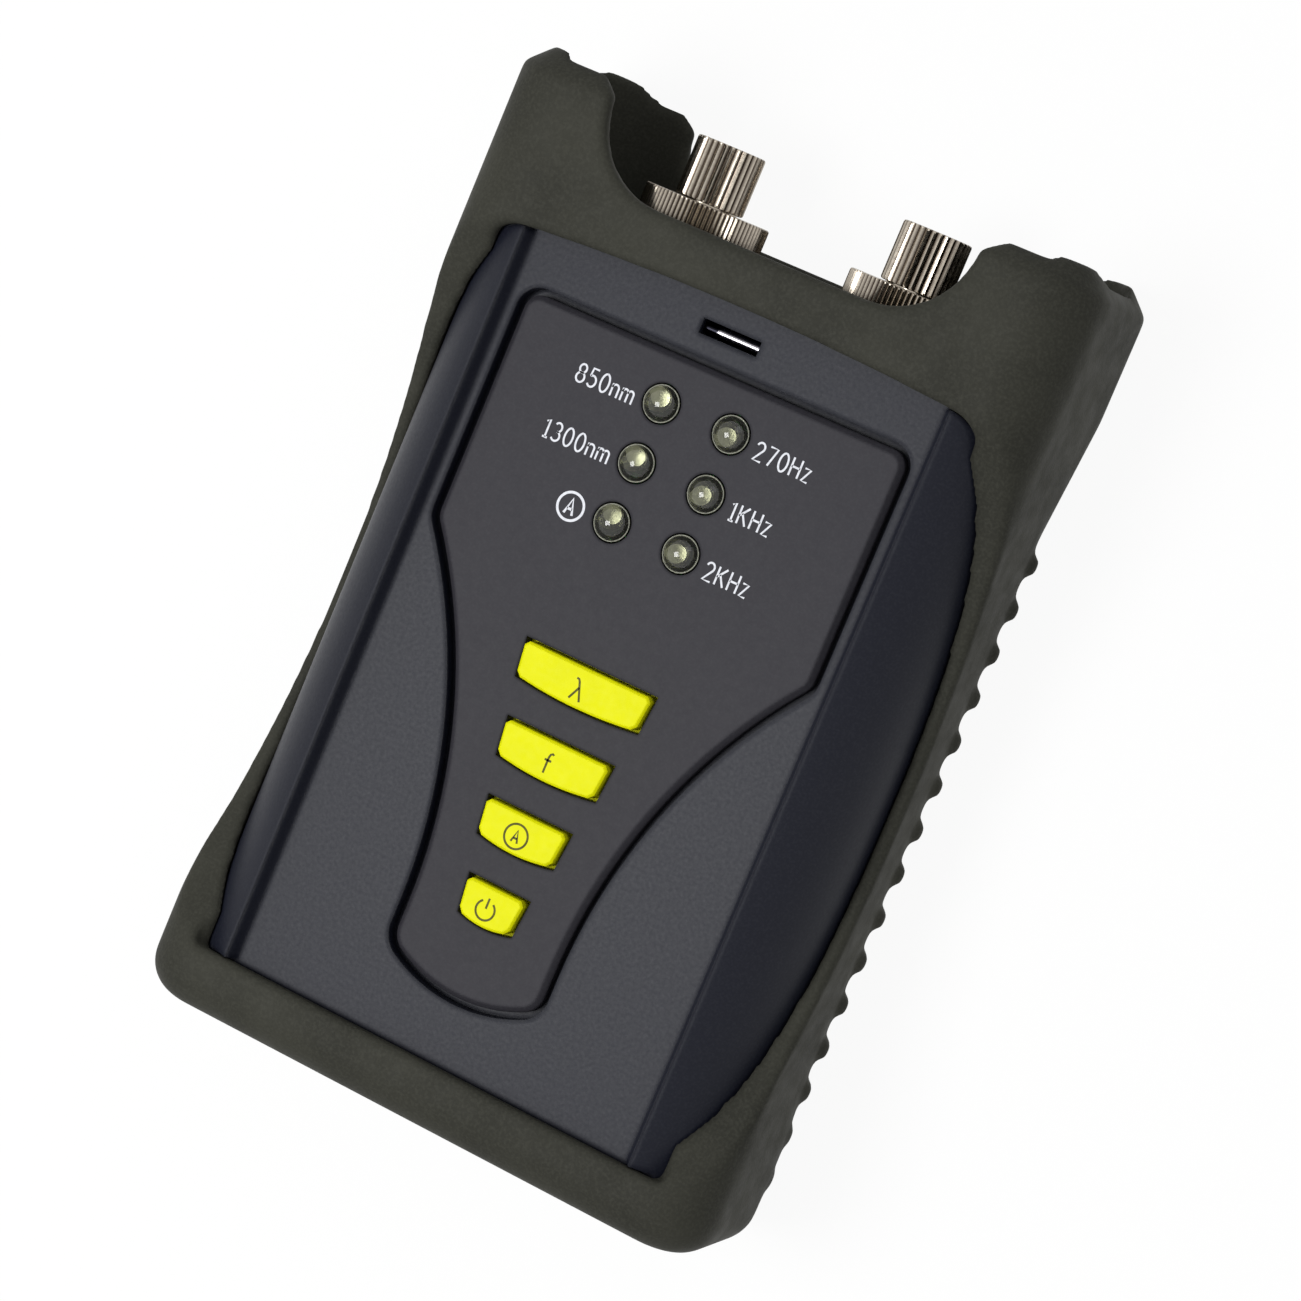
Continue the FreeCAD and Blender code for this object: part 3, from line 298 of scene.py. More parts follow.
def clear_lens():
    """Water-clear epoxy, cast round the lead frame, with the faint cloudiness of a cheap lamp."""
    inputs = {"Transmission Weight": 0.97, "IOR": 1.52}
    material, tree, surface = new_material("cast_clear_epoxy", inputs)
    shine(tree, surface, 0.6, 0.0, 0.03)
    tint = spread(tree, grain(tree, 2), *NOISE, 0.0, 1.0)
    coat(tree, surface, tint, "#c6c8b4", "#b6b8a2")
    return material


def bright_metal(name, colour, second, rough):
    """Plated sheet steel: silver-grey with a slightly uneven shine."""
    material, tree, surface = new_material(name, {"Metallic": 1.0})
    uneven = spread(tree, grain(tree, 1.2), *NOISE, 0.0, 1.0)
    coat(tree, surface, uneven, colour, second)
    shine(tree, surface, 0.7, rough, rough + 0.12)
    relief(tree, surface, grain(tree, 0.25), 0.004, 0.3)
    return material


def bar_with_painted_shade():
    """The strap's steel bar: one end painted near-black as painted shade from the slot, the rest
    bright.
    """
    material, tree, surface = new_material("half_worn_steel_bar", {"Metallic": 1.0})
    along = object_axes(tree)["X"]
    waver = spread(tree, grain(tree, 0.5), *NOISE, -0.2 * MM, 0.2 * MM)
    ragged = maths(tree, "ADD", along, waver)
    # The bar's left end is painted near-black: painted shade from the slot's end, with a ragged
    # border.
    outside_painted_shade = spread(tree, ragged, -2.3 * MM, -1.9 * MM, 0.0, 1.0)
    coat(tree, surface, outside_painted_shade, "#15151a", "#97949a")
    shine(tree, surface, 0.4, 0.12, 0.25)
    return material


def plain_finish(name, colour, second, rough, grain_mm, depth_mm):
    """A moulded, cast or printed finish with a little unevenness in colour and shine."""
    material, tree, surface = new_material(name, {"Specular IOR Level": 0.2})
    uneven = spread(tree, grain(tree, grain_mm, detail=3), 0.35, 0.65, 0.0, 1.0)
    coat(tree, surface, uneven, colour, second)
    shine(tree, surface, grain_mm * 2, rough, rough + 0.15)
    relief(tree, surface, grain(tree, grain_mm), depth_mm, 0.4)
    return material


def board_laminate():
    """Glass-epoxy board under green resist, with copper tracks showing as a lighter relief."""
    material, tree, surface = new_material("green_resist_laminate")
    # Tracks are about 0.3 mm wide, as real ones, in a mesh of 9 mm that is coarser than a layout
    links = {"Scale": 1 / (9 * MM), "Mortar Size": 0.03, "Vector": place(tree)}
    tracks = add_node(tree, "ShaderNodeTexBrick", links).outputs["Fac"]
    coat(tree, surface, tracks, "#0e4a22", "#2f7a43")
    shine(tree, surface, 2, 0.22, 0.34)
    relief(tree, surface, tracks, 0.035, 0.6)
    return material


def wrapped_cell():
    """A cell in shrunk film: black body with a copper-coloured band at the nub's end."""
    material, tree, surface = new_material("shrunk_cell_wrap")
    band = spread(tree, object_axes(tree)["Y"], -0.012, -0.0118, 0.0, 1.0)
    coat(tree, surface, band, "#1b1b1e", "#b5763a")
    shine(tree, surface, 2, 0.25, 0.38)
    relief(tree, surface, grain(tree, 1.5), 0.02, 0.3)
    return material


def silicone():
    """Grey moulded silicone, for the keypad's mat and the seals in the caps."""
    return finish_of("silicone", plain_finish, "moulded_silicone", "#77777a", "#6a6a6d",
                     0.5, 0.8, 0.02)


FINISHES = {}


def finish_of(name, maker, *args):
    """Each finish is made once and shared."""
    if name not in FINISHES:
        FINISHES[name] = maker(*args)
    return FINISHES[name]


def dress(nodes, material):
    """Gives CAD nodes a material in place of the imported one."""
    for name in nodes:
        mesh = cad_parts[name].data
        mesh.materials.clear()
        mesh.materials.append(material)


# Meshes


def linked(name, data):
    """A new object in the scene."""
    made = bpy.data.objects.new(name, data)
    bpy.context.scene.collection.objects.link(made)
    return made


def mesh_object(name, mesh, material, body):
    """A finished piece at the origin, which rides on a body."""
    mesh.materials.clear()
    mesh.materials.append(material)
    made = linked(name, mesh)
    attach(made, body)
    return made


def from_bmesh(name, shape):
    """The bmesh as mesh data, with its normals outwards."""
    bmesh.ops.recalc_face_normals(shape, faces=shape.faces)
    mesh = bpy.data.meshes.new(name)
    shape.to_mesh(mesh)
    shape.free()
    return mesh


def lathe(name, profile, count, origin, axis, closed=False):
    """Turns (radius, distance) points round an axis along Y or Z; a radius of 0 is a pole."""
    shape = bmesh.new()
    rings = []
    for radius, far in profile:
        ring = []
        for i in range(count if radius > 0 else 1):
            angle = math.tau * i / count
            a, b = radius * math.cos(angle), radius * math.sin(angle)
            offset = Vector((a, b, far)) if axis == "Z" else Vector((a, far, b))
            ring.append(shape.verts.new(origin + offset))
        rings.append(ring)
    pairs = list(zip(rings, rings[1:]))
    if closed:
        pairs.append((rings[-1], rings[0]))
    for first, second in pairs:
        for i in range(count):
            j = (i + 1) % count
            near = [first[i % len(first)], first[j % len(first)]]
            far = [second[j % len(second)], second[i % len(second)]]
            corners = list(dict.fromkeys(near + far))
            if len(corners) > 2:
                shape.faces.new(corners)
    mesh = from_bmesh(name, shape)
    mesh.shade_smooth()
    return mesh


def ribbon(shape, points, width, z, closed=False):
    """A printed line of that width through the points, which lie at height z."""
    count = len(points)
    rims = []
    for i, point in enumerate(points):
        here = Vector(point)
        before = Vector(points[i - 1]) if i or closed else here
        after = Vector(points[(i + 1) % count]) if i < count - 1 or closed else here
        along = (after - before).normalized()
        side = Vector((-along.y, along.x)) * width / 2
        corners = []
        for level in (z, z + INK):
            for edge in (here + side, here - side):
                corners.append(shape.verts.new((edge.x, edge.y, level)))
        rims.append(corners)
    last = count if closed else count - 1
    for i in range(last):
        a, b = rims[i], rims[(i + 1) % count]
        for p, q in ((0, 1), (1, 3), (3, 2), (2, 0)):
            shape.faces.new((a[p], a[q], b[q], b[p]))
    if not closed:
        for rim in (rims[0], rims[-1]):
            shape.faces.new((rim[0], rim[1], rim[3], rim[2]))


def oval(centre, radii, start, end, steps=14):
    """Points along part of an oval, with angles in degrees."""
    points = []
    for i in range(steps + 1):
        angle = math.radians(start + (end - start) * i / steps)
        x = centre[0] + radii[0] * math.cos(angle)
        points.append((x, centre[1] + radii[1] * math.sin(angle)))
    return points


def arc_points(centre, radius, start, end):
    """Points along an arc, with angles in degrees."""
    return oval(centre, (radius, radius), start, end, 40)


# A plain stroke alphabet: each letter's width and its strokes, in shares of a capital's height
STROKES = {
    "0": (0.48, [oval((0.24, 0.5), (0.24, 0.5), 90, 450, 28)]),
    "1": (0.3, [[(0.02, 0.84), (0.2, 1.0), (0.2, 0.0)], [(0.05, 0.0), (0.35, 0.0)]]),
    "2": (0.48, [oval((0.23, 0.75), (0.22, 0.25), 165, -35) + [(0.0, 0.0), (0.48, 0.0)]]),
    "3": (0.46, [oval((0.21, 0.75), (0.21, 0.25), 150, -90),
                 oval((0.21, 0.26), (0.24, 0.26), 90, -150)]),
    "5": (0.46, [[(0.43, 1.0), (0.08, 1.0), (0.05, 0.58)]
                 + oval((0.2, 0.31), (0.25, 0.31), 125, -145)]),
    "7": (0.46, [[(0.0, 1.0), (0.46, 1.0), (0.16, 0.0)]]),
    "8": (0.48, [oval((0.24, 0.76), (0.2, 0.24), 90, 450, 24),
                 oval((0.24, 0.27), (0.24, 0.27), 90, 450, 24)]),
    "A": (0.56, [[(0.0, 0.0), (0.28, 1.0), (0.56, 0.0)], [(0.1, 0.34), (0.46, 0.34)]]),
    "H": (0.5, [[(0.0, 0.0), (0.0, 1.0)], [(0.5, 0.0), (0.5, 1.0)], [(0.0, 0.52), (0.5, 0.52)]]),
    "K": (0.5, [[(0.0, 0.0), (0.0, 1.0)], [(0.47, 1.0), (0.0, 0.42)], [(0.15, 0.61), (0.5, 0.0)]]),
    "m": (0.66, [[(0.0, 0.7), (0.0, 0.0)],
                 oval((0.165, 0.48), (0.165, 0.2), 180, 0) + [(0.33, 0.0)],
                 oval((0.495, 0.48), (0.165, 0.2), 180, 0) + [(0.66, 0.0)]]),
    "n": (0.38, [[(0.0, 0.7), (0.0, 0.0)],
                 oval((0.19, 0.48), (0.19, 0.2), 180, 0) + [(0.38, 0.0)]]),
    "z": (0.36, [[(0.0, 0.7), (0.36, 0.7), (0.0, 0.0), (0.36, 0.0)]]),
}
LETTER_GAP = 0.25


def words_width(words):
    """The words' width, in shares of a capital's height."""
    return sum(STROKES[letter][0] for letter in words) + LETTER_GAP * (len(words) - 1)


def print_words(shape, words, spot, z, height, line, align="LEFT"):
    """Prints words with strokes of one width; spot is on the baseline."""
    share = {"LEFT": 0.0, "CENTER": 0.5, "RIGHT": 1.0}[align]
    x = spot[0] - words_width(words) * height * share
    for letter in words:
        wide, strokes = STROKES[letter]
        for stroke in strokes:
            points = [(x + a * height, spot[1] + b * height) for a, b in stroke]
            ribbon(shape, points, line, z)
        x += (wide + LETTER_GAP) * height


def ringed_letter(shape, centre, radius, width, z, height):
    """A capital A of that height in a ring."""
    ribbon(shape, arc_points(centre, radius, 0, 360)[:-1], width, z, closed=True)
    spot = (centre[0], centre[1] - height / 2)
    print_words(shape, "A", spot, z, height, width, "CENTER")


# Settings


class FinishSettings(bpy.types.PropertyGroup):
    """The colours that a user would change."""

    rubber: bpy.props.FloatVectorProperty(
        name="Boot", description="Colour of the rubber boot",
        subtype="COLOR", size=4, min=0, max=1, default=linear("#2f2f2a"))
    voxel: bpy.props.FloatProperty(
        name="Boot fineness", description="Size of the cells that the soft boot is rebuilt from",
        unit="LENGTH", default=0.45 * MM, min=0.4 * MM, max=2 * MM)
    casing: bpy.props.FloatVectorProperty(
        name="Casing", description="Colour of the casing's plastic",
        subtype="COLOR", size=4, min=0, max=1, default=linear("#12141e"))
    bezel: bpy.props.FloatVectorProperty(
        name="Bezel", description="Colour of the keypad's bezel",
        subtype="COLOR", size=4, min=0, max=1, default=linear("#2c2b30"))
    keys: bpy.props.FloatVectorProperty(
        name="Keys", description="Colour of the keys",
        subtype="COLOR", size=4, min=0, max=1, default=linear("#dfe003"))
    nickel: bpy.props.FloatVectorProperty(
        name="Nickel", description="Colour of the plated rings and caps",
        subtype="COLOR", size=4, min=0, max=1, default=linear("#b9b0a2"))
    print_white: bpy.props.FloatVectorProperty(
        name="Legends", description="Colour of the printed legends",
        subtype="COLOR", size=4, min=0, max=1, default=linear("#e2e4ea"))


class LegendSettings(bpy.types.PropertyGroup):
    """Sizes of the printed legends and signs."""

    capital: bpy.props.FloatProperty(
        name="Capital height", description="Height of the legends' capitals",
        unit="LENGTH", default=2.35 * MM, min=0.5 * MM, max=6 * MM)
    line: bpy.props.FloatProperty(
        name="Line width", description="Width of the printed lines of rings and signs",
        unit="LENGTH", default=0.26 * MM, min=0.05 * MM, max=1 * MM)
    margin: bpy.props.FloatProperty(
        name="Distance from the middle", description="Where the legends end beside the lamps",
        unit="LENGTH", default=8.8 * MM, min=5 * MM, max=20 * MM)


class StudioSettings(bpy.types.PropertyGroup):
    """Camera distance and light levels."""

    distance: bpy.props.FloatProperty(
        name="Camera distance", description="From the camera to the middle of the panel",
        unit="LENGTH", default=0.48, min=0.2, max=3.0)
    key_light: bpy.props.FloatProperty(
        name="Key light", description="Power of the large soft light", unit="POWER",
        default=3.4, min=0.0, max=100.0)
    side_light: bpy.props.FloatProperty(
        name="Side light", description="Power of the low side light", unit="POWER",
        default=0.4, min=0.0, max=100.0)
    sky: bpy.props.FloatProperty(
        name="Surroundings", description="Strength of the even light from all round",
        default=0.4, min=0.0, max=3.0)


def settings():
    """The scene, which holds the three groups of settings."""
    return bpy.context.scene


def hex_of(colour):
    """A colour setting as a hex code, so that materials take one kind of colour."""
    codes = []
    for part in colour[:3]:
        shown = part * 12.92 if part <= 0.0031308 else 1.055 * part ** (1 / 2.4) - 0.055
        codes.append(f"{round(shown * 255):02x}")
    return "#" + "".join(codes)


# Operators


class SOURCE_OT_boot(bpy.types.Operator):
    """Gives the boot its moulded rubber"""

    bl_idname = "source.boot"
    bl_label = "Rubber boot"

    def execute(self, context):
        finish = settings().source_finish
        rubber = finish_of("rubber", moulded_rubber, hex_of(finish.rubber))
        boot = mesh_object("soft_boot", soft_boot_mesh(finish.voxel), rubber, "casing")
        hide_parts("rubber_boot")
        return {"FINISHED"}


def soft_boot_mesh(voxel):
    """The boot with its edges, ribs and corners rounded off, as moulded rubber's are."""
    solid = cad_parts["rubber_boot"]
    mesh = solid.data.copy()
    mesh.transform(solid.matrix_world)
    shape = bmesh.new()
    shape.from_mesh(mesh)
    bmesh.ops.remove_doubles(shape, verts=shape.verts, dist=WELD)
    shape.to_mesh(mesh)
    shape.free()
    holder = linked("soft_boot_source", mesh)
    rebuilt = holder.modifiers.new("voxels", "REMESH")
    rebuilt.mode = "VOXEL"
    rebuilt.voxel_size = voxel
    rebuilt.use_smooth_shade = True
    rounding = holder.modifiers.new("rounding", "SMOOTH")
    rounding.factor = 0.5
    rounding.iterations = SMOOTHING_ROUNDS
    fewer = holder.modifiers.new("fewer faces", "DECIMATE")
    fewer.ratio = FACES_KEPT
    return taken_from(holder, "soft_boot", mesh)


def taken_from(holder, name, source):
    """The object's mesh with its modifiers applied; the object and its source mesh are removed."""
    bpy.context.view_layer.update()
    evaluated = holder.evaluated_get(bpy.context.evaluated_depsgraph_get())
    mesh = bpy.data.meshes.new_from_object(evaluated)
    mesh.name = name
    holder.modifiers.clear()
    bpy.data.objects.remove(holder)
    bpy.data.meshes.remove(source)
    return mesh


class SOURCE_OT_casing(bpy.types.Operator):
    """Gives both halves of the casing and the battery cover their textured plastic"""

    bl_idname = "source.casing"
    bl_label = "Casing"

    def execute(self, context):
        colour = hex_of(settings().source_finish.casing)
        abs_plastic = finish_of("casing", textured_abs, colour)
        dress(["front_case", "rear_case", "battery_cover"], abs_plastic)
        steel = finish_of("screws", bright_metal, "zinc_plated_steel", "#c9c9cc", "#9a9a9e", 0.2)
        dress(["case_screws"], steel)
        dress(["lanyard_bar"], finish_of("bar", bar_with_painted_shade))
        return {"FINISHED"}


class SOURCE_OT_bezel(bpy.types.Operator):
    """Gives the bezel its plastic and prints the legends beside the lamps"""

    bl_idname = "source.bezel"
    bl_label = "Bezel and legends"

    def execute(self, context):
        colour = hex_of(settings().source_finish.bezel)
        dress(["keypad_bezel"], finish_of("bezel", smooth_abs, colour))
        legend = settings().source_legend
        high, edge, line = legend.capital, legend.margin, legend.line
        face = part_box("keypad_bezel")[1][2] + INK
        rows = [lamp_spot(name).y for name in LAMP_NODES[:3]]
        base = [y - BASELINE_DROP for y in rows]
        shape = bmesh.new()
        for words, y in (("850nm", base[0]), ("1300nm", base[1])):
            print_words(shape, words, (-edge, y), face, high, line, "RIGHT")
        for words, y in (("270Hz", base[0]), ("1KHz", base[1]), ("2KHz", base[2])):
            print_words(shape, words, (edge, y), face, high, line)
        spot = (-edge - RINGED_SHIFT[0], rows[2] - RINGED_SHIFT[1])
        ringed_letter(shape, spot, RINGED_RADIUS, line * 1.3, face, RINGED_HEIGHT)
        white = hex_of(settings().source_finish.print_white)
        ink = finish_of("ink", plain_finish, "screen_print_white", white, "#cfd1d8",
                        0.45, 0.5, 0.004)
        mesh_object("bezel_legends", from_bmesh("bezel_legends", shape), ink, "casing")
        return {"FINISHED"}


class SOURCE_OT_keys(bpy.types.Operator):
    """Gives the keys their yellow plastic and prints their signs"""

    bl_idname = "source.keys"
    bl_label = "Keys and signs"

    def execute(self, context):
        colour = hex_of(settings().source_finish.keys)
        dress(KEY_NODES, finish_of("keys", key_plastic, colour))
        ink = finish_of("key_ink", plain_finish, "pad_print_olive", "#45430c", "#585512",
                        0.5, 0.4, 0.004)
        line = settings().source_legend.line * 1.1
        for name in KEY_NODES:
            low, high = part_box(name)
            face = high[2] + SIGN_LIFT
            middle = (-0.0003, (low[1] + high[1]) / 2 - 0.0003)
            shape = bmesh.new()
            SIGNS[name](shape, middle, face, line)
            title = name + "_sign"
            mesh_object(title, from_bmesh(title, shape), ink, name + "_body")
        return {"FINISHED"}


def sign_line(shape, middle, points, line, z):
    """A printed line through points that are given from a key's middle, in metres."""
    ribbon(shape, [(middle[0] + a, middle[1] + b) for a, b in points], line, z)


def wavelength_sign(shape, middle, z, line):
    """The Greek letter for wavelength."""
    stem = [(-0.0006, 0.00135), (-0.0003, 0.0013), (-0.0001, 0.0010), (0.0008, -0.0014)]
    sign_line(shape, middle, stem, line, z)
    sign_line(shape, middle, [(0.00015, 0.0003), (-0.0007, -0.0014)], line, z)


def frequency_sign(shape, middle, z, line):
    """A small f for frequency."""
    stem = [(0.00055, 0.00125), (0.00035, 0.00138), (0.0001, 0.0012), (0.0, 0.0008), (0.0, -0.0013)]
    sign_line(shape, middle, stem, line, z)
    sign_line(shape, middle, [(-0.00045, 0.0004), (0.0005, 0.0004)], line, z)


def auto_sign(shape, middle, z, line):
    """A ringed A for automatic."""
    ringed_letter(shape, middle, 0.0016, line, z, 0.0016)


def power_sign(shape, middle, z, line):
    """The usual standby mark: an open ring with a stroke."""
    x, y = middle
    ribbon(shape, arc_points((x, y - 0.0001), 0.0013, 125, 415), line, z)
    sign_line(shape, middle, [(0.0, 0.0015), (0.0, 0.0001)], line, z)


SIGNS = {
    "key_wavelength": wavelength_sign,
    "key_frequency": frequency_sign,
    "key_auto": auto_sign,
    "key_power": power_sign,
}


def lamp_spot(name):
    """The lamp's axis at its foot."""
    low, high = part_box(name)
    return Vector(((low[0] + high[0]) / 2, (low[1] + high[1]) / 2, low[2]))


def lens_mesh(name):
    """A lamp with a true dome in place of the solid's straight slopes."""
    low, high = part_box(name)
    spot = lamp_spot(name)
    radius = (high[0] - low[0]) / 2
    profile = []
    for degrees in range(0, 91, 6):
        slope = math.radians(degrees)
        profile.append((radius * math.sin(slope), high[2] - radius + radius * math.cos(slope)))
    profile += [(radius, low[2] + 0.0003), (radius - 0.0003, low[2]), (0.0, low[2])]
    return lathe(name + "_lens", profile, 48, Vector((spot.x, spot.y, 0.0)), "Z")


def highlight_lip_mesh():
    """The thin lip of a lens at the bezel's face, finished pale as a painted highlight ring; its
    foot is at 0.
    """
    low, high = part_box(LAMP_NODES[0])
    radius = (high[0] - low[0]) / 2
    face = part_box("keypad_bezel")[1][2] - low[2]
    inset, thick = 0.1 * MM, 0.09 * MM
    profile = []
    for i in range(8):
        angle = math.tau * i / 8
        wide = radius - inset + thick * math.cos(angle)
        profile.append((wide, face + thick * math.sin(angle)))
    return lathe("lamp_lip", profile, 48, Vector((0.0, 0.0, 0.0)), "Z", closed=True)


def lead_frame_mesh():
    """One lamp's lead frame: an anvil with the chip's cup, and a thinner post beside it."""
    shape = bmesh.new()
    anvil = (-0.00075, 0.00075, 0.0048, 0.0009)
    post = (0.00095, 0.0005, 0.0044, 0.0006)
    for x, wide, tip, head in (anvil, post):
        for low, high, half in ((0.0011, 0.0032, wide * 0.45), (0.0032, tip, head)):
            box = bmesh.ops.create_cube(shape, size=1.0)["verts"]
            for v in box:
                v.co = Vector((x + v.co.x * half * 2, v.co.y * 0.0005,
                               (low + high) / 2 + v.co.z * (high - low)))
    cup = bmesh.ops.create_cone(
        shape, segments=20, radius1=0.00035, radius2=0.00095, depth=0.0007, cap_ends=True
    )["verts"]
    for v in cup:
        v.co += Vector((-0.00075, 0, 0.0051))
    top = [f for f in shape.faces if f.normal.z > 0.9 and f.calc_center_median().z > 0.0054]
    bmesh.ops.inset_region(shape, faces=top, thickness=0.0001)
    for face in top:
        for v in face.verts:
            v.co.z -= 0.00045
    return from_bmesh("lead_frame", shape)


def new_tree(name, inputs):
    """A Geometry Nodes tree with geometry in and out and the named inputs of those kinds."""
    tree = bpy.data.node_groups.new(name, "GeometryNodeTree")
    sockets = tree.interface
    sockets.new_socket("Geometry", in_out="INPUT", socket_type="NodeSocketGeometry")
    for title, kind in inputs.items():
        sockets.new_socket(title, in_out="INPUT", socket_type="NodeSocket" + kind)
    sockets.new_socket("Geometry", in_out="OUTPUT", socket_type="NodeSocketGeometry")
    return tree


def end_tree(tree, geometry, finish):
    """Ends a tree with its instances made real and their material set."""
    real = add_node(tree, "GeometryNodeRealizeInstances", {"Geometry": geometry})
    links = {"Geometry": real.outputs[0], "Material": finish}
    painted = add_node(tree, "GeometryNodeSetMaterial", links)
    add_node(tree, "NodeGroupOutput", {"Geometry": painted.outputs[0]})


def instance_tree(name):
    """A tree that puts the picked object on every point of the mesh, turned at random."""
    tree = new_tree(name, {"Piece": "Object", "Turn": "Float", "Finish": "Material"})
    entry = add_node(tree, "NodeGroupInput").outputs
    piece = add_node(tree, "GeometryNodeObjectInfo", {"Object": entry["Piece"]})
    turn = add_node(tree, "FunctionNodeRandomValue", {"Seed": 7}, data_type="FLOAT_VECTOR")
    spin = add_node(tree, "ShaderNodeCombineXYZ", {"Z": entry["Turn"]})
    links = {0: spin.outputs[0], "Scale": -1.0}
    low = add_node(tree, "ShaderNodeVectorMath", links, operation="SCALE")
    tree.links.new(low.outputs[0], turn.inputs["Min"])
    tree.links.new(spin.outputs[0], turn.inputs["Max"])
    links = {"Points": entry["Geometry"], "Instance": piece.outputs["Geometry"],
             "Rotation": turn.outputs[0]}
    copies = add_node(tree, "GeometryNodeInstanceOnPoints", links)
    end_tree(tree, copies.outputs[0], entry["Finish"])
    return tree


def scatter(name, tree, spots, values):
    """The tree's result on those points, as a plain mesh."""
    points = bpy.data.meshes.new(name + "_points")
    points.from_pydata([tuple(s) for s in spots], [], [])
    return run_tree(name, points, tree, values)


def run_tree(name, source, tree, values):
    """The tree's result on a mesh, as a plain mesh."""
    holder = linked(name + "_source", source)
    modifier = holder.modifiers.new(name, "NODES")
    modifier.node_group = tree
    for item in tree.interface.items_tree:
        if item.item_type == "SOCKET" and item.in_out == "INPUT" and item.name in values:
            modifier[item.identifier] = values[item.name]
    return taken_from(holder, name, source)


class SOURCE_OT_lamps(bpy.types.Operator):
    """Makes the lamps clear and puts a lead frame in each"""

    bl_idname = "source.lamps"
    bl_label = "Lamps"

    def execute(self, context):
        clear = finish_of("lens", clear_lens)
        for name in LAMP_NODES:
            lens = mesh_object(name + "_lens", lens_mesh(name), clear, "casing")
            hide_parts(name)
        silver = finish_of("frames", bright_metal, "silvered_lead_frame", "#9b9b8c", "#6f6f62",
                           0.25)
        dress(["lamp_leads"], silver)
        tree = instance_tree("Lead frames")
        on_each_lamp("lamp_frames", lead_frame_mesh(), tree, 0.5, silver)
        # Each lamp's lip is pale grey: a painted highlight ring round the lens at the bezel's face.
        lip_highlight = finish_of("lip", plain_finish, "hazed_epoxy_lip", "#8e8f80", "#6f7066",
                         0.15, 0.5, 0.01)
        on_each_lamp("lamp_lips", highlight_lip_mesh(), tree, 0.0, lip_highlight)
        return {"FINISHED"}


def on_each_lamp(name, mesh, tree, turn, finish):
    """Copies of a mesh on all the lamps as one piece; turn is the largest random turn."""
    piece = linked(mesh.name, mesh)
    spots = [lamp_spot(lamp) for lamp in LAMP_NODES]
    copies = scatter(name, tree, spots, {"Piece": piece, "Turn": turn, "Finish": finish})
    bpy.data.objects.remove(piece)
    mesh_object(name, copies, finish, "casing")


BODY_OF = {"coupling_ring": "ring", "dust_cap": "cap"}


def knurl_tree():
    """A tree that cuts straight V grooves round an axis along Y into what lies past a radius."""
    numbers = dict.fromkeys(("Across", "Up", "Crest radius", "Depth", "Teeth"), "Float")
    tree = new_tree("Straight knurl", {**numbers, "Finish": "Material"})
    entry = add_node(tree, "NodeGroupInput").outputs
    position = add_node(tree, "GeometryNodeInputPosition").outputs[0]
    parts = add_node(tree, "ShaderNodeSeparateXYZ", {"Vector": position}).outputs
    across = maths(tree, "SUBTRACT", parts["X"], entry["Across"])
    up = maths(tree, "SUBTRACT", parts["Z"], entry["Up"])
    turn = maths(tree, "DIVIDE", maths(tree, "ARCTAN2", up, across), math.tau)
    tooth = maths(tree, "PINGPONG", maths(tree, "MULTIPLY", turn, entry["Teeth"]), 0.5)
    outward = add_node(tree, "ShaderNodeCombineXYZ", {"X": across, "Z": up}).outputs[0]
    length = add_node(tree, "ShaderNodeVectorMath", {0: outward}, operation="LENGTH")
    radius = length.outputs["Value"]
    cut = maths(tree, "MULTIPLY", maths(tree, "MULTIPLY", tooth, 2.0), entry["Depth"])
    grooved = maths(tree, "SUBTRACT", entry["Crest radius"], cut)
    move = maths(tree, "MINIMUM", maths(tree, "SUBTRACT", grooved, radius), 0.0)
    away = add_node(tree, "ShaderNodeVectorMath", {0: outward}, operation="NORMALIZE").outputs[0]
    links = {0: away, "Scale": move}
    offset = add_node(tree, "ShaderNodeVectorMath", links, operation="SCALE").outputs[0]
    links = {"Geometry": entry["Geometry"], "Offset": offset}
    cut_teeth = add_node(tree, "GeometryNodeSetPosition", links).outputs[0]
    links = {"Geometry": cut_teeth, "Shade Smooth": False}
    flat = add_node(tree, "GeometryNodeSetShadeSmooth", links)
    end_tree(tree, flat.outputs[0], entry["Finish"])
    return tree


def stepped_bore(wide_mm, narrow_mm, wall_mm):
    """A bore's outline, back to front: wide, then narrow through the front wall, or shut if 0."""
    return ((wide_mm * MM, 0.0), (wide_mm * MM, -wall_mm * MM), (narrow_mm * MM, -wall_mm * MM),
            (narrow_mm * MM, -0.0001 * MM))


def knurled_piece(side, kind, tree, teeth, depth, inside):
    """A ring or cap with fine teeth and rounded edges; inside is the bore's outline."""
    node = f"{side}_{kind}"
    low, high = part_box(node)
    x, z = port_axis(side)
    radius = (high[2] - low[2]) / 2
    back, front = low[1], high[1]
    edge = TURNED_EDGE
    bend = 0.3 * edge
    outside = [(radius - edge, back), (radius - bend, back + bend), (radius, back + edge),
               (radius, front - edge), (radius - bend, front - bend), (radius - edge, front)]
    bore = [(wide, back + far if far >= 0 else front + far) for wide, far in inside]
    profile = outside + bore[::-1]
    origin = Vector((x, 0.0, z))
    rough = lathe(node + "_turned", profile, teeth * 6, origin, "Y", closed=True)
    colour = hex_of(settings().source_finish.nickel)
    title = f"knurled_nickel_plate_{teeth}"
    finish = finish_of(title, plated_brass, title, colour, radius / MM, depth / MM)
    values = {"Across": x, "Up": z, "Crest radius": radius, "Depth": depth, "Teeth": float(teeth),
              "Finish": finish}
    mesh = run_tree(node + "_knurled", rough, tree, values)
    piece = mesh_object(node + "_knurled", mesh, finish, f"{side}_{BODY_OF[kind]}")
    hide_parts(node)


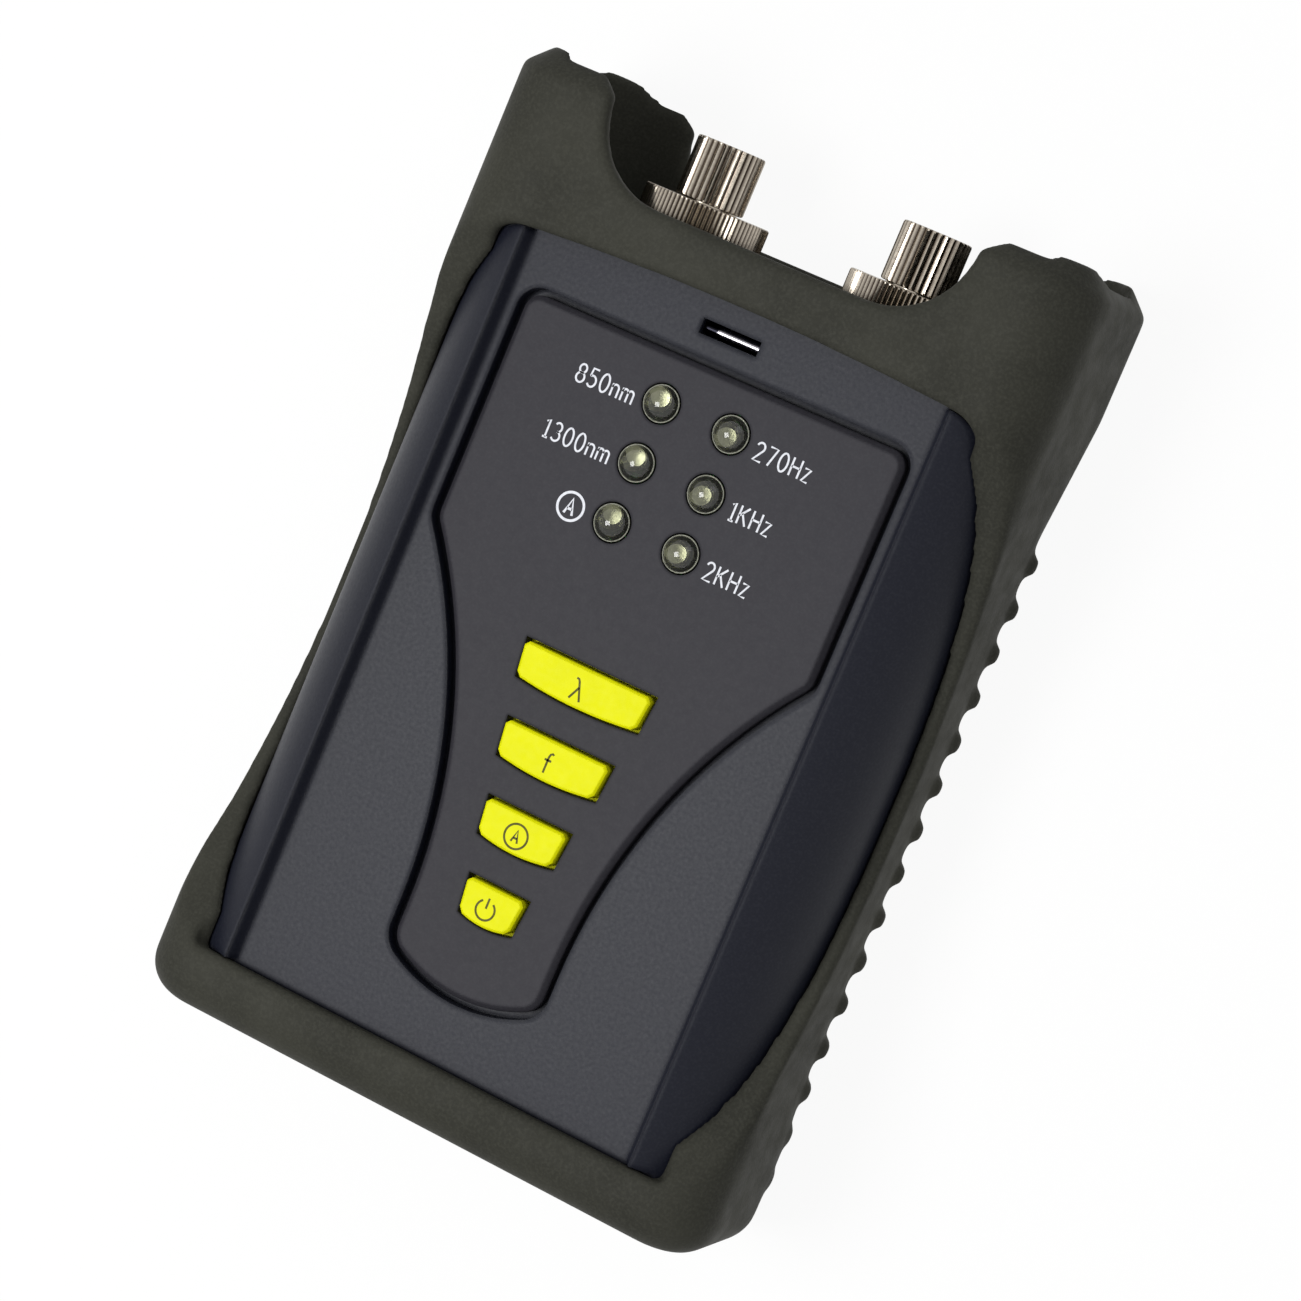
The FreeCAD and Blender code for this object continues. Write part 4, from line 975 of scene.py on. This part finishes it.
class SOURCE_OT_ports(bpy.types.Operator):
    """Gives the optical ports their knurled plated brass, ceramic and silicone"""

    bl_idname = "source.ports"
    bl_label = "Optical ports"

    def execute(self, context):
        colour = hex_of(settings().source_finish.nickel)
        nickel = finish_of("nickel", plated_brass, "nickel_plate", colour)
        knurl = knurl_tree()
        ring_bore = stepped_bore(6.6, 4.1, 0.8)
        cap_bore = stepped_bore(4.0, 0.0, 1.2)
        ceramic = finish_of("ceramic", plain_finish, "fired_zirconia", "#f1efe8", "#e4e1d8",
                            0.15, 1.5, 0.003)
        can = finish_of("can", bright_metal, "drawn_steel_can", "#b9b9bb", "#9b9b9e", 0.25)
        for side in PORT_SIDES:
            dress([f"{side}_port_housing", f"{side}_adapter"], nickel)
            knurled_piece(side, "coupling_ring", knurl, RING_TEETH, KNURL_DEPTH, ring_bore)
            knurled_piece(side, "dust_cap", knurl, CAP_TEETH, KNURL_DEPTH, cap_bore)
            dress([f"{side}_ferrule", f"{side}_sleeve"], ceramic)
            dress([f"{side}_cap_seal"], silicone())
            dress([f"{side}_emitter"], can)
        return {"FINISHED"}


class SOURCE_OT_inside(bpy.types.Operator):
    """Gives the boards, cells and contacts inside the casing their finishes"""

    bl_idname = "source.inside"
    bl_label = "Inside"

    def execute(self, context):
        dress(["circuit_board", "port_board"], finish_of("laminate", board_laminate))
        epoxy = finish_of("epoxy", plain_finish, "moulded_black_epoxy", "#161617", "#232324",
                          0.4, 0.3, 0.01)
        dress(["board_parts"], epoxy)
        dress(["battery_left", "battery_right"], finish_of("cell", wrapped_cell))
        spring = finish_of("spring", bright_metal, "nickel_plated_spring_steel", "#c4c2bd",
                           "#a3a19c", 0.18)
        dress(["battery_springs", "battery_plates", "emitter_pins"], spring)
        dress(["keypad_mat"], silicone())
        carbon = finish_of("carbon", plain_finish, "printed_carbon", "#101011", "#1d1d1e",
                           0.6, 0.3, 0.005)
        dress(["key_contacts"], carbon)
        return {"FINISHED"}


# Studio


def camera_turn():
    """The camera's rotation as solved from the casing's edges."""
    roll = Matrix.Rotation(math.radians(CAMERA_ROLL), 3, "Z")
    pitch = Matrix.Rotation(math.radians(CAMERA_PITCH), 3, "X")
    yaw = Matrix.Rotation(math.radians(CAMERA_YAW), 3, "Y")
    return (roll @ pitch @ yaw).transposed()


def aim(holder, spot):
    """Turns a light so that it shines at the spot."""
    away = holder.location - Vector(spot)
    holder.rotation_euler = away.to_track_quat("Z", "Y").to_euler()


def soft_light(name, spot, size, power, colour):
    """A flat light at the spot, turned to the part."""
    light = bpy.data.lights.new(name, "AREA")
    light.shape = "RECTANGLE"
    light.size, light.size_y = size
    light.energy = power
    light.color = linear(colour)[:3]
    holder = linked(name, light)
    holder.location = spot
    aim(holder, LIGHTS_AIM)


def seen_rays(tree):
    """1 for rays that show the surroundings themselves: direct, mirrored or through glass."""
    path = add_node(tree, "ShaderNodeLightPath").outputs
    shown = maths(tree, "MAXIMUM", path["Is Camera Ray"], path["Is Glossy Ray"])
    return maths(tree, "MAXIMUM", shown, path["Is Transmission Ray"])


def floor_material():
    """Matt white paper sweep that keeps the shadow but shows near white to the camera."""
    material, tree, surface = new_material("white_paper_sweep")
    fibre = spread(tree, grain(tree, 2), 0.3, 0.7, 0.0, 1.0)
    tree.links.new(blend_colours(tree, fibre, "#f4f4f3", "#f0f0ef"), surface.inputs["Base Color"])
    surface.inputs["Roughness"].default_value = 0.9
    glow = add_node(tree, "ShaderNodeEmission", {"Color": (1, 1, 1, 1), "Strength": 1.0})
    share = maths(tree, "MULTIPLY", seen_rays(tree), PAPER_GLOW)
    links = {0: share, 1: surface.outputs[0], 2: glow.outputs[0]}
    mixed = add_node(tree, "ShaderNodeMixShader", links)
    output = [n for n in tree.nodes if n.type == "OUTPUT_MATERIAL"][0]
    tree.links.new(mixed.outputs[0], output.inputs["Surface"])
    return material


class SOURCE_OT_studio(bpy.types.Operator):
    """Makes the floor, the lights, the surroundings and the camera"""

    bl_idname = "source.studio"
    bl_label = "Studio"

    def execute(self, context):
        scene = bpy.context.scene
        studio = scene.source_studio
        shape = bmesh.new()
        bmesh.ops.create_grid(shape, x_segments=2, y_segments=2, size=FLOOR_HALF)
        for v in shape.verts:
            v.co.z = FLOOR_HEIGHT
        mesh = bpy.data.meshes.new("floor")
        shape.to_mesh(mesh)
        shape.free()
        mesh.materials.append(floor_material())
        floor = linked("floor", mesh)

        world = bpy.data.worlds.new("studio")
        world.use_nodes = True
        tree = world.node_tree
        tree.nodes.clear()
        level = spread(tree, seen_rays(tree), 0.0, 1.0, studio.sky, 1.0)
        sky = add_node(tree, "ShaderNodeBackground", {"Color": (1, 1, 1, 1), "Strength": level})
        add_node(tree, "ShaderNodeOutputWorld", {"Surface": sky.outputs[0]})
        scene.world = world

        soft_light("key_light", KEY_LIGHT_SPOT, KEY_LIGHT_SIZE, studio.key_light, "#ffffff")
        soft_light("side_light", SIDE_LIGHT_SPOT, SIDE_LIGHT_SIZE, studio.side_light, "#fbfcff")

        lens = bpy.data.cameras.new("camera")
        lens.sensor_width = SENSOR_MM
        lens.lens = SENSOR_MM * FOCAL_PIXELS / PICTURE_PIXELS
        lens.clip_start = 0.01
        camera = linked("camera", lens)
        middle = Vector(CAMERA_TARGET)
        away = (Vector(CAMERA_SPOT) - middle).normalized() * studio.distance
        camera.matrix_world = Matrix.Translation(middle + away) @ camera_turn().to_4x4()
        scene.camera = camera
        scene.view_settings.view_transform = "Standard"
        return {"FINISHED"}


class SOURCE_PT_panel(bpy.types.Panel):
    """Lists the pieces and the settings in the sidebar"""

    bl_idname = "SOURCE_PT_panel"
    bl_label = "Light source"
    bl_space_type = "VIEW_3D"
    bl_region_type = "UI"
    bl_category = "Light source"

    def draw(self, context):
        for operator in OPERATORS:
            self.layout.operator(operator.bl_idname)
        for group in (context.scene.source_finish, context.scene.source_legend,
                      context.scene.source_studio):
            box = self.layout.box()
            for name in group.__annotations__:
                box.prop(group, name)


GROUPS = (FinishSettings, LegendSettings, StudioSettings)
OPERATORS = (SOURCE_OT_boot, SOURCE_OT_casing, SOURCE_OT_bezel, SOURCE_OT_keys, SOURCE_OT_lamps,
             SOURCE_OT_ports, SOURCE_OT_inside, SOURCE_OT_studio)


def register():
    """Adds the settings, the operators and the panel."""
    for kind in (*GROUPS, *OPERATORS, SOURCE_PT_panel):
        bpy.utils.register_class(kind)
    scene = bpy.types.Scene
    scene.source_finish = bpy.props.PointerProperty(type=FinishSettings)
    scene.source_legend = bpy.props.PointerProperty(type=LegendSettings)
    scene.source_studio = bpy.props.PointerProperty(type=StudioSettings)


def unregister():
    """Takes them away again."""
    for name in ("source_studio", "source_legend", "source_finish"):
        delattr(bpy.types.Scene, name)
    for kind in reversed((*GROUPS, *OPERATORS, SOURCE_PT_panel)):
        bpy.utils.unregister_class(kind)


def main():
    """Adds the settings and runs every operator in turn."""
    register()
    for operator in OPERATORS:
        group, name = operator.bl_idname.split(".")
        getattr(getattr(bpy.ops, group), name)()


if __name__ == "__main__":
    main()
